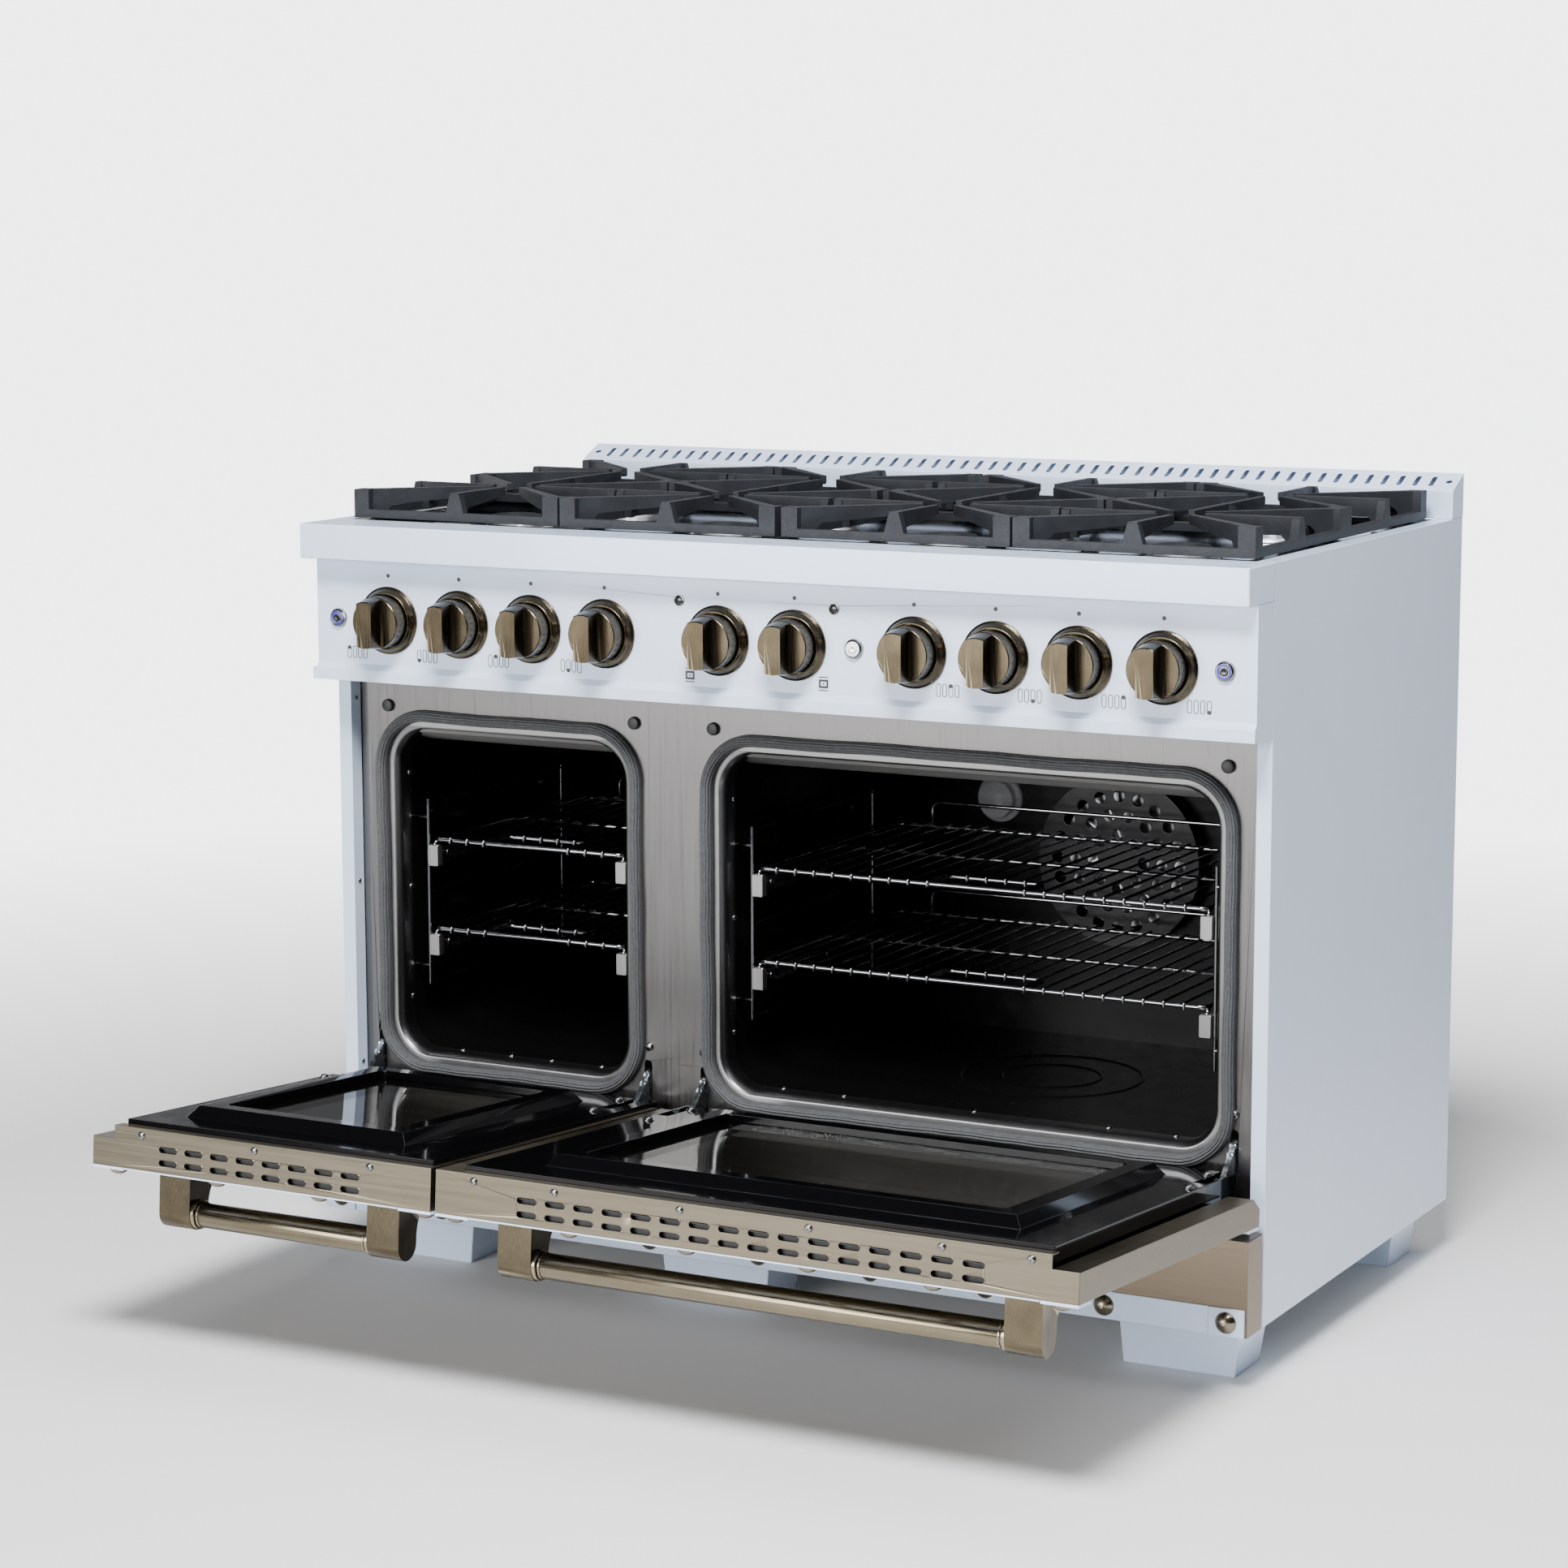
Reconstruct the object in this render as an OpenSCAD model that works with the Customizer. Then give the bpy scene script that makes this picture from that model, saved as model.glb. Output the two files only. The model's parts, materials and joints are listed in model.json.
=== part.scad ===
/* [Overall] */
// Width over the two side panels
body_w = 1216; // [1210:2:1230]
// Height of the cooktop rim above the floor
top_z = 914; // [912:1:916]
// Depth of the side panels, front edge to back
body_d = 622; // [616:2:630]
// Front edge of the side panels, measured from the origin
front_y = -60; // [-64:1:-56]
// Underside of the body above the floor
base_z = 66; // [60:1:66]
// Sheet metal thickness
sheet = 2; // [1.5:0.5:2]

/* [Ovens] */
// Centre of the small oven
small_x = -378.5; // [-380:0.5:-378]
// Width of the small oven's mouth
small_w = 329; // [325:2:331]
// Centre of the large oven
large_x = 226.5; // [225:0.5:228]
// Width of the large oven's mouth
large_w = 629; // [625:2:629]
// Bottom of both mouths
mouth_z0 = 253; // [252:1:255]
// Top of both mouths
mouth_z1 = 661; // [659:1:662]
// Corner radius of the mouths
mouth_r = 46; // [40:2:48]
// Depth of the oven cavities behind the front frame
cavity_d = 476; // [470:2:480]
// Front face of the stainless front frame
frame_y = -38; // [-39:1:-37]

/* [Doors] */
// Height of a door
door_h = 488; // [486:1:489]
// Bottom edge of a closed door
door_z = 224; // [223:1:225]
// Outer face of a closed door
door_y = -106; // [-107:0.5:-105.5]
// Depth of the folded skin
skin_d = 48; // [47:1:48]
// Depth of the skin's outer side flange
flange_d = 33; // [31:1:34]
// Depth to the liner's flat border
liner_d = 53; // [52:1:53]
// How far the liner's frame stands above its border
bead_h = 13; // [12:1:13]
// Angle that the doors stand open
door_open = 85.6; // [80:0.1:88]
// Gap between the two doors
door_gap = 6; // [4:1:8]
// Where the two doors meet
door_split = -151; // [-153:1:-149]

/* [Handles] */
// Diameter of a handle bar
bar_d = 29; // [26:1:30]
// Distance of the bar's axis in front of the door
bar_out = 54; // [50:1:56]
// Height of the bar's axis above the door's bottom edge
bar_u = 430; // [420:2:436]

/* [Controls] */
// Height of the knobs' axes
knob_z = 799.5; // [797:0.5:802]
// Spacing of the burner knobs
knob_pitch = 100; // [98:1:102]
// Radius of the knob's drum
knob_r = 31.5; // [31:0.1:32]
// Distance of the grip's front face from the panel
knob_len = 54; // [50:1:56]
// Width of the grip bar
grip_w = 20.6; // [19:0.2:22]
// Radius of a bezel
bezel_r = 40.7; // [40:0.1:41.5]

/* [Cooktop] */
// Height of the grates
grate_h = 34; // [33:1:36]
// Width of one grate
grate_w = 288; // [284:1:289]
// Depth of one grate
grate_d = 556; // [550:2:558]

/* [Racks] */
// Height of the lower rack's wires
rack_low_z = 405; // [402:1:406]
// Height of the upper rack's wires
rack_high_z = 517; // [514:1:518]
// Depth of a rack
rack_d = 366; // [360:2:372]
// Diameter of the rack's frame wire
rack_wire = 6; // [5:0.5:6.5]

/* [Hidden] */

half_w = body_w / 2;
back_y = front_y + body_d;

// Side panels: a 18 mm front return, then a wall back to the front frame
return_w = 18;
inner_x = half_w - return_w;
rim_w = 22;

// Front rail, a square bullnose along the top of the front
rail_y = front_y - 75.5;
rail_h = 42;

// Control panel
panel_y = front_y - 48;
panel_z0 = 724;
panel_z1 = top_z - rail_h;
flare_z = 745;
flare_out = 5;
panel_end = half_w - 5;

// Knob, button and lamp places along the panel
knob_x = [-5 * knob_pitch, -4 * knob_pitch, -3 * knob_pitch, -2 * knob_pitch, -49.5, 49.5,
    2 * knob_pitch, 3 * knob_pitch, 4 * knob_pitch, 5 * knob_pitch];
stem_r = 4;
stem_clear = 0.06;
light_x = 571.5;
fan_button_x = 125.5;
button_r = 8.5;
lamp_x = 100;
lamp_z = 843;

// Kick panel and base rail
kick_top = 175;
kick_return = 42;
rail_strip_h = 32;
cap_w = 42;
strip_t = 2;
cap_t = 3.5;
stud_r = 12.5;
stud_h = 7.5;
base_stud_count = 9;

// Feet: three in front and three behind
foot_w = 135;
foot_d = 75;
foot_flare = 6.5;
foot_y = front_y + 12;
rear_foot_y = 458;
foot_x = [-503.5, -90.5, 503.5];

// Doors
door_x = [[-half_w, door_split - door_gap / 2], [door_split + door_gap / 2, half_w]];
door_xc = [for (d = door_x) (d[0] + d[1]) / 2];
door_sign = [-1, 1];
outer_ledge = 30;
inner_ledge = [8, 27];
liner_gap = 5;
liner_wall = 24;
liner_top = 471;
liner_low = -14;
pivot_y = door_y + 35.3;
pivot_z = door_z - 3.9;
pin_r = 3;
pin_clear = 0.06;
arm_t = 6;
notch_w = 14;
// Hinge arms, and the side of each on which its pin sits in the door's bracket
hinge_x = [-567, -187, -110, 562];
hinge_side = [1, -1, 1, -1];
// Raised frame around each glass: half width, bottom and top
bead_half = [148, 282];
bead_u0 = 40;
bead_u1 = 420;
bead_band = 32;
bead_slope = 10;
glass_drop = 9;
glass_t = 4;
vent_count = [8, 16];
vent_pitch = 35;
vent_len = 25;
vent_h = 7;
post_w = 42;
post_in = [[64, 66], [56, 56]];
stud_count = [4, 6];
stud_in = [[25, 16], [18, 24]];

// Grates
grate_z = top_z + 2;
grate_y0 = front_y + 5;
grate_x = [-439, -148, 148, 439];
burner_y = [grate_y0 + grate_d / 4, grate_y0 + 3 * grate_d / 4];
pan_z = 896;

// Racks
rack_y0 = front_y + 62;
// Distances from the cavity wall: ladder, fixed rail, moving slide
ladder_in = 20.5;
rail_in = 25.5;
slide_in = 31.7;
// Wires that reach the front on each side of the grab gap, and wires in the gap
side_wires = [3, 9];
gap_wires = 4;
gap_d = 55;
rail_drop = 20.5;
ladder_y = [rack_y0 + 2, rack_y0 + rack_d - 50];
cavity_y1 = frame_y + cavity_d;

// Convection fan
fan_x = 226.5;
fan_z = 484;
fan_cover_r = 108;
fan_cover_d = 26;

module along_y(y0, y1) {
    translate([0, y1, 0]) rotate([90, 0, 0]) linear_extrude(y1 - y0) children();
}

module along_x(x0, x1) {
    translate([x0, 0, 0]) rotate([90, 0, 90]) linear_extrude(x1 - x0) children();
}

module box(low, high) {
    translate(low) cube([high[0] - low[0], high[1] - low[1], high[2] - low[2]]);
}

module rounded(w, h, r) {
    square([w - 2 * r, h], center = true);
    square([w, h - 2 * r], center = true);
    for (sx = [-1, 1], sy = [-1, 1])
        translate([sx * (w / 2 - r), sy * (h / 2 - r)]) circle(r, $fn = 48);
}

module slot2d(length, width) {
    square([length - width, width], center = true);
    for (s = [-1, 1]) translate([s * (length - width) / 2, 0]) circle(width / 2, $fn = 24);
}

module rod_x(x0, x1, y, z, d) {
    translate([x0, y, z]) rotate([0, 90, 0]) cylinder(h = x1 - x0, d = d, $fn = 20);
}

module rod_y(x, y0, y1, z, d) {
    translate([x, y1, z]) rotate([90, 0, 0]) cylinder(h = y1 - y0, d = d, $fn = 20);
}

module rod_z(x, y, z0, z1, d) {
    translate([x, y, z0]) cylinder(h = z1 - z0, d = d, $fn = 20);
}

mouth_h = mouth_z1 - mouth_z0;
mouth_zc = (mouth_z0 + mouth_z1) / 2;

// Body -------------------------------------------------------------------

module side_panel(s) {
    color("white") mirror([s < 0 ? 1 : 0, 0, 0]) {
        box([half_w - sheet, front_y, base_z], [half_w, back_y, top_z]);
        box([inner_x, front_y, base_z], [half_w, front_y + sheet, top_z]);
        box([inner_x, front_y, base_z], [inner_x + sheet, frame_y - 0.5, top_z - rail_h]);
        box([half_w - rim_w, front_y, top_z - sheet], [half_w, back_y, top_z]);
        box([inner_x, back_y - sheet, base_z], [half_w, back_y, top_z]);
        box([inner_x, front_y, base_z], [half_w, back_y, base_z + sheet]);
    }
}

louvre_x = [for (g = [-1, 1]) for (i = [0:9]) g * 330 + (i - 4.5) * 24];

module back_panel() {
    color("lightsteelblue") difference() {
        box([-inner_x + 1, back_y - sheet, base_z + 20], [inner_x - 1, back_y, top_z - 10]);
        for (x = louvre_x, z = [150, 760])
            translate([x, 0, z]) along_y(back_y - 5, back_y + 5) rotate(90) slot2d(70, 8);
        translate([inlet_x, back_y + 5, inlet_z]) rotate([90, 0, 0]) cylinder(h = 10, r = 16, $fn = 40);
        translate([power_x, back_y + 5, power_z]) rotate([90, 0, 0]) cylinder(h = 10, r = 11, $fn = 40);
    }
}

module base_frame() {
    wall = 40;
    color("gainsboro") {
        box([-inner_x + 3, front_y + 10, base_z], [inner_x - 3, back_y - 6, base_z + sheet]);
        for (y = [front_y + 10, back_y - 6 - sheet])
            box([-inner_x + 3, y, base_z], [inner_x - 3, y + sheet, base_z + wall]);
        for (s = [-1, 1])
            box([s * (inner_x - 4) - 1, front_y + 10, base_z],
                [s * (inner_x - 4) + 1, back_y - 6, base_z + wall]);
        for (x = foot_x)
            box([x - 30, front_y + 10, base_z], [x + 30, back_y - 6, base_z + 12]);
    }
}

frame_z0 = 178;
arm_slot_z0 = 226;
arm_slot_z1 = 280;

module front_frame() {
    lip = 16;
    color("rosybrown") difference() {
        union() {
            box([-inner_x + 0.5, frame_y, frame_z0], [inner_x - 0.5, frame_y + sheet, panel_z1]);
            for (o = [[small_x, small_w], [large_x, large_w]]) {
                translate([o[0], 0, mouth_zc]) along_y(frame_y, frame_y + lip)
                    rounded(o[1] + 2 * sheet, mouth_h + 2 * sheet, mouth_r + sheet);
            }
        }
        for (o = [[small_x, small_w], [large_x, large_w]])
            translate([o[0], 0, mouth_zc]) along_y(frame_y - 5, frame_y + lip + 5)
                rounded(o[1], mouth_h, mouth_r);
        for (x = hinge_x)
            translate([x, 0, (arm_slot_z0 + arm_slot_z1) / 2]) along_y(frame_y - 5, frame_y + lip)
                rotate(90) slot2d(arm_slot_z1 - arm_slot_z0, 10);
        for (x = knob_x)
            translate([x, frame_y + 5, knob_z]) rotate([90, 0, 0]) cylinder(h = 10, r = 14, $fn = 32);
    }
}

module oven_liner(xc, w, with_fan) {
    wall = sheet;
    y0 = frame_y + 16.3;
    color("black") difference() {
        translate([xc, 0, mouth_zc]) along_y(y0, cavity_y1)
            rounded(w + 2 * wall, mouth_h + 2 * wall, mouth_r + wall);
        translate([xc, 0, mouth_zc]) along_y(y0 - 5, cavity_y1 - wall) rounded(w, mouth_h, mouth_r);
        if (with_fan)
            translate([fan_x, cavity_y1 + 5, fan_z]) rotate([90, 0, 0])
                cylinder(h = 20, r = 12, $fn = 40);
    }
}

module oven_gaskets() {
    clear = 6;
    width = 16;
    front = door_y + liner_d + 0.5;
    color("dimgray") for (o = [[small_x, small_w], [large_x, large_w]])
        translate([o[0], 0, mouth_zc]) difference() {
            along_y(front, frame_y) rounded(o[1] + 2 * (clear + width), mouth_h + 2 * (clear + width),
                mouth_r + clear + width);
            along_y(front - 5, frame_y + 5) rounded(o[1] + 2 * clear, mouth_h + 2 * clear,
                mouth_r + clear);
        }
}

pan_x = half_w - rim_w;
pan_y1 = 524;

module cooktop() {
    dish = 14;
    color("black") difference() {
        box([-pan_x + 0.3, front_y + 0.5, pan_z - sheet], [pan_x - 0.3, pan_y1 - 0.5, top_z - 0.5]);
        box([-pan_x + dish, front_y + dish, pan_z], [pan_x - dish, pan_y1 - dish, top_z + 5]);
        for (x = grate_x, y = burner_y)
            translate([x, y, pan_z - 10]) cylinder(h = 30, r = 30, $fn = 48);
    }
}

module front_rail() {
    color("white") difference() {
        box([-half_w, rail_y, panel_z1], [half_w, front_y - 0.2, top_z]);
        box([-half_w + sheet, rail_y + sheet, panel_z1 + sheet], [half_w - sheet, front_y + 5, top_z - sheet]);
        box([-half_w + 20, panel_y + 6, panel_z1 - 5], [half_w - 20, front_y + 5, panel_z1 + 5]);
    }
}

module panel_profile() {
    polygon([[panel_y, panel_z1 - 0.3], [panel_y, flare_z], [panel_y - flare_out, flare_z - 7],
        [panel_y - flare_out, panel_z0], [panel_y + 20, panel_z0], [panel_y + 20, panel_z0 + sheet],
        [panel_y - flare_out + sheet, panel_z0 + sheet],
        [panel_y - flare_out + sheet, flare_z - 7.5], [panel_y + sheet, flare_z - 0.7],
        [panel_y + sheet, panel_z1 - 0.3]]);
}

module control_panel() {
    color("white") difference() {
        union() {
            along_x(-panel_end, half_w) panel_profile();
            for (x = [-panel_end, half_w - sheet])
                box([x, panel_y, flare_z - 7], [x + sheet, front_y - 0.3, panel_z1 - 0.3]);
            for (x = [[-half_w, -panel_end + sheet], [half_w - sheet, half_w]])
                box([x[0], panel_y - flare_out, panel_z0], [x[1], front_y - 0.3, flare_z - 7]);
        }
        for (x = knob_x)
            translate([x, panel_y + 10, knob_z]) rotate([90, 0, 0]) cylinder(h = 30, r = 8, $fn = 32);
        for (x = [-light_x, light_x, fan_button_x])
            translate([x, panel_y + 10, knob_z]) rotate([90, 0, 0])
                cylinder(h = 30, r = button_r + 0.5, $fn = 32);
        for (x = [-lamp_x, lamp_x])
            translate([x, panel_y + 10, lamp_z]) rotate([90, 0, 0]) cylinder(h = 30, r = 3.5, $fn = 32);
    }
}

guard_y = 524;
guard_z = 948.5;
guard_top = 967;
guard_end = 2;
slot_count = 58;
slot_pitch = 20.2;

module backguard() {
    slope = atan2(guard_top - guard_z, back_y + 2 - guard_y);
    run = sqrt(pow(guard_top - guard_z, 2) + pow(back_y + 2 - guard_y, 2));
    color("white") difference() {
        along_x(-half_w, half_w) polygon([[guard_y, top_z], [guard_y, guard_z],
            [back_y + 2, guard_top], [back_y + 2, top_z]]);
        along_x(-half_w + guard_end, half_w - guard_end) polygon([[guard_y + sheet, top_z - 5],
            [guard_y + sheet, guard_z - 1], [back_y + 2 - sheet, guard_top - 2.8],
            [back_y + 2 - sheet, top_z - 5]]);
        translate([0, guard_y, guard_z]) rotate([slope, 0, 0]) {
            for (i = [0:slot_count - 1])
                translate([(i - (slot_count - 1) / 2) * slot_pitch, run / 2, -4])
                    linear_extrude(8) rotate(90) slot2d(24, 6);
            for (s = [-1, 1])
                translate([s * (half_w - 12), run / 2, -4]) cylinder(h = 8, r = 4, $fn = 24);
        }
    }
}

module kick_panel() {
    color("tan") {
        box([-half_w, panel_y, base_z], [half_w, panel_y + sheet, kick_top]);
        box([-half_w, panel_y, kick_top - sheet], [half_w, panel_y + kick_return, kick_top]);
        for (s = [-1, 1]) {
            x0 = s > 0 ? half_w - sheet : -half_w;
            box([x0, panel_y, base_z], [x0 + sheet, panel_y + kick_return, kick_top]);
        }
        for (x = [-500, -89, 500])
            box([x - 15, panel_y, base_z + 4], [x + 15, front_y + 9.8, base_z + 4 + sheet]);
    }
}

module base_rail() {
    end = half_w - 3;
    z1 = base_z + rail_strip_h;
    color("white") {
        box([-end + cap_w, panel_y - strip_t, base_z], [end - cap_w, panel_y, z1]);
        for (s = [-1, 1])
            box([s > 0 ? end - cap_w + 0.5 : -end, panel_y - cap_t, base_z],
                [s > 0 ? end : -end + cap_w - 0.5, panel_y, z1]);
    }
}

// A dome-headed stud whose flat side lies in the plane y = 0
module stud() {
    sphere_r = (stud_r * stud_r + stud_h * stud_h) / (2 * stud_h);
    rotate([90, 0, 0]) intersection() {
        translate([0, 0, stud_h - sphere_r]) sphere(sphere_r, $fn = 48);
        cylinder(h = stud_h + 1, r = stud_r, $fn = 48);
    }
}

module base_studs() {
    first = -half_w + 3 + cap_w / 2;
    pitch = -2 * first / (base_stud_count - 1);
    color("darkgoldenrod") for (i = [0:base_stud_count - 1]) {
        at_end = i == 0 || i == base_stud_count - 1;
        translate([first + i * pitch, panel_y - (at_end ? cap_t : strip_t), base_z + rail_strip_h / 2])
            stud();
    }
}

module foot_block() {
    h = base_z;
    intersection() {
        along_y(-50, 150) polygon([[-foot_w / 2, 0], [foot_w / 2, 0], [foot_w / 2 + foot_flare, h],
            [-foot_w / 2 - foot_flare, h]]);
        along_x(-100, 100) polygon([[0, 0], [foot_d, 0], [foot_d + 12, h], [-1.5, h]]);
    }
}

module feet() {
    color("gainsboro") for (x = foot_x, y = [foot_y, rear_foot_y]) translate([x, y, 0]) foot_block();
}

// Controls ---------------------------------------------------------------

bezel_h = 11;
bezel_in = knob_r + 1.3;

module knob_bezels() {
    color("darkgoldenrod") for (x = knob_x)
        translate([x, panel_y - 0.1, knob_z]) rotate([90, 0, 0]) rotate_extrude($fn = 64)
            polygon([[10, 0], [bezel_r, 0], [bezel_r, 2.5], [bezel_r - 2.5, 3.5],
                [bezel_in + 1.5, bezel_h], [bezel_in, bezel_h], [bezel_in, 2], [10, 2]]);
}

// One knob on the y axis: a drum, and a grip bar whose lower end is the pointer
module knob() {
    back = 4;
    drum = 31.5;
    fillet = 3;
    face_r = knob_r - 4.5;
    shoulder = 20;
    color("darkgoldenrod") rotate([90, 0, 0]) difference() {
        union() {
            rotate_extrude($fn = 64) polygon([[0, back], [knob_r, back], [knob_r - 0.3, drum - 0.9],
                [knob_r - 1.2, drum], [0, drum]]);
            intersection() {
                translate([-grip_w / 2, -40, drum - 2]) cube([grip_w, 80, 40]);
                union() {
                    rotate_extrude($fn = 64) polygon([[0, shoulder], [knob_r - 1, shoulder],
                        [knob_r - 1, drum], [face_r, knob_len - 1], [face_r - 1, knob_len],
                        [0, knob_len]]);
                    intersection() {
                        translate([0, 0, shoulder])
                            cylinder(h = knob_len - shoulder, r1 = knob_r + 1, r2 = face_r + 1.5, $fn = 64);
                        translate([-20, -40, 0]) cube([40, 40, 80]);
                    }
                }
            }
            intersection() {
                translate([0, 0, drum - 1]) cylinder(h = 10, r = knob_r - 1.4, $fn = 64);
                rotate([90, 0, 0]) translate([0, 0, -40]) linear_extrude(80)
                    polygon([[-grip_w / 2 - fillet, drum], [-grip_w / 2, drum + fillet],
                        [grip_w / 2, drum + fillet], [grip_w / 2 + fillet, drum], [0, drum - 1]]);
            }
        }
        translate([0, 0, back - 1]) cylinder(h = 22, r = stem_r + stem_clear, $fn = 32);
        rotate_extrude($fn = 64) polygon([[9, back - 1], [knob_r - 3, back - 1], [knob_r - 3.8, drum - 4],
            [9, drum - 4]]);
    }
}

module knob_at(i) {
    translate([knob_x[i], panel_y, knob_z]) knob();
}

module button(x) {
    color("silver") translate([x, panel_y + 8, knob_z]) rotate([90, 0, 0]) {
        cylinder(h = 13, r = button_r, $fn = 40);
        translate([0, 0, -3]) cylinder(h = 4, r = button_r + 2, $fn = 40);
    }
}

inlet_x = 500;
inlet_z = 150;
inlet_r = 10.65;
inlet_bore = 7.5;
power_x = 420;
power_z = 150;

// Gas pipe behind the control panel, with a valve and its stem for every knob
module gas_manifold() {
    pipe_y = front_y + 6;
    pipe_z = knob_z - 30;
    color("goldenrod") {
        rod_x(-530, 560, pipe_y, pipe_z, 20);
        for (x = knob_x) {
            box([x - 11, panel_y + 22, pipe_z - 8], [x + 11, pipe_y, knob_z + 12]);
            translate([x, panel_y + 24, knob_z]) rotate([90, 0, 0])
                cylinder(h = 24 + 22, r = stem_r, $fn = 32);
        }
        difference() {
            union() {
                translate([inlet_x, back_y + 1, inlet_z]) rotate([90, 0, 0])
                    cylinder(h = 70, r = inlet_r, $fn = 40);
                translate([inlet_x, back_y - 60, inlet_z - 20]) cylinder(h = 40, r = 15, $fn = 40);
            }
            translate([inlet_x, back_y + 2, inlet_z]) rotate([90, 0, 0])
                cylinder(h = 46, r = inlet_bore, $fn = 40);
        }
    }
}

// Cooktop ----------------------------------------------------------------

module burner_bases() {
    color("silver") for (x = grate_x, y = burner_y) translate([x, y, 0])
        translate([0, 0, pan_z - 28]) rotate_extrude($fn = 64)
            polygon([[6, 0], [26, 0], [26, 28], [46, 28], [44, 32], [36, 32], [36, 38], [6, 38]]);
}

module burner_caps() {
    color("black") for (x = grate_x, y = burner_y) translate([x, y, pan_z + 10.2])
        rotate_extrude($fn = 64)
            polygon([[0, 0], [36, 0], [37, 3], [34, 7], [26, 8.5], [0, 9]]);
}

// Fingers of one burner: [turn, distance from the centre to the root, root width, web length]
finger_hole = 30;
finger_tip = 8;
cell_turn = atan2(grate_d / 2, grate_w);
cell_reach = sqrt(pow(grate_w, 2) + pow(grate_d / 2, 2)) / 2 - 14;
fingers = concat([for (a = [cell_turn, 180 - cell_turn, 180 + cell_turn, 360 - cell_turn])
        [a, cell_reach, 16, 26]],
    [for (a = [0, 180]) [a, grate_w / 2 - 4, 9.4, 14]],
    [for (a = [90, 270]) [a, grate_d / 4 - 4, 9.4, 14]]);

module finger_plan(f) {
    rotate(f[0]) polygon([[f[1], -f[2] / 2], [finger_hole, -finger_tip / 2],
        [finger_hole, finger_tip / 2], [f[1], f[2] / 2]]);
}

// The space under a finger, between its web and its tip
module finger_gap(f) {
    web = f[1] - f[3];
    rotate(f[0]) along_y(-f[2] / 2 - 1, f[2] / 2 + 1)
        polygon([[web, -1], [web - 1, 9], [web - 7, 15], [finger_hole + 4, 23],
            [finger_hole - 1, 26], [finger_hole - 1, -1]]);
}

// A post with sloping sides, standing on the low bar
module grate_post(thick) {
    along_y(-thick / 2, thick / 2)
        polygon([[-15, 1], [15, 1], [6.5, grate_h - 2], [-6.5, grate_h - 2]]);
}

module grate(i) {
    bar = 10;
    corner = 21;
    post_top = 12;
    w = grate_w;
    half = grate_d / 2;
    yc = (burner_y[0] + burner_y[1]) / 2;
    color("dimgray") translate([grate_x[i], yc, grate_z]) {
        difference() {
            box([-w / 2, -half, 0], [w / 2, half, bar]);
            for (s = [-1, 1]) translate([0, s * half / 2, 0])
                cube([w - 2 * bar, half - 1.5 * bar - 2, 5 * bar], center = true);
        }
        difference() {
            translate([0, 0, 0.5]) linear_extrude(grate_h - 0.5) {
                for (sx = [-1, 1], y = [-half + corner / 2, 0, half - corner / 2])
                    translate([sx * (w / 2 - corner / 2), y])
                        square([corner, y == 0 ? 1.8 * corner : corner], center = true);
                for (y = [-half + bar / 2, 0, half - bar / 2]) translate([0, y])
                    square([post_top, y == 0 ? 1.6 * bar : bar], center = true);
                for (sx = [-1, 1], sy = [-1, 1]) translate([sx * (w / 2 - bar / 2), sy * half / 2])
                    square([bar, post_top], center = true);
                for (sy = [-1, 1]) translate([0, sy * half / 2])
                    for (f = fingers) finger_plan(f);
            }
            for (sy = [-1, 1]) translate([0, sy * half / 2, 0]) for (f = fingers) finger_gap(f);
        }
        for (y = [-half + bar / 2, 0, half - bar / 2])
            translate([0, y, 0]) grate_post(y == 0 ? 1.6 * bar : bar);
        for (sx = [-1, 1], sy = [-1, 1])
            translate([sx * (w / 2 - bar / 2), sy * half / 2, 0]) rotate(90) grate_post(bar);
    }
}

// Ovens ------------------------------------------------------------------

function oven_x(k) = k == 0 ? small_x : large_x;
function oven_w(k) = k == 0 ? small_w : large_w;

guide_h = 22;
slide_h = 16;

// Wire ladders by the cavity walls, with the fixed halves of the telescopic slides
module rack_supports() {
    z_low = rack_low_z - 68;
    z_high = rack_high_z + 46;
    rungs = [z_low, rack_low_z + 2, (z_low + z_high) / 2, rack_high_z + 2, z_high];
    color("silver") for (k = [0, 1]) translate([oven_x(k), 0, 0]) for (s = [-1, 1]) {
        wall = oven_w(k) / 2;
        x = s * (wall - ladder_in);
        for (y = ladder_y) rod_z(x, y, z_low - 3, z_high + 3, 5);
        for (z = rungs) rod_y(x, ladder_y[0] - 1, ladder_y[1] + 1, z, 4);
        for (y = ladder_y, z = [z_low + 20, z_high - 20])
            rod_x(min(x, s * wall), max(x, s * wall), y, z, 5);
        for (z = [rack_low_z, rack_high_z]) mirror([s < 0 ? 1 : 0, 0, 0]) {
            box([wall - ladder_in - 2.5, ladder_y[0], z - rail_drop - 4],
                [wall - ladder_in + 1.5, ladder_y[0] + 10, z - rail_drop + 4]);
            box([wall - rail_in - 3.5, ladder_y[0] + 8, z - rail_drop - guide_h / 2],
                [wall - rail_in + 4, ladder_y[1] + 2, z - rail_drop + guide_h / 2]);
        }
    }
}

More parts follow.
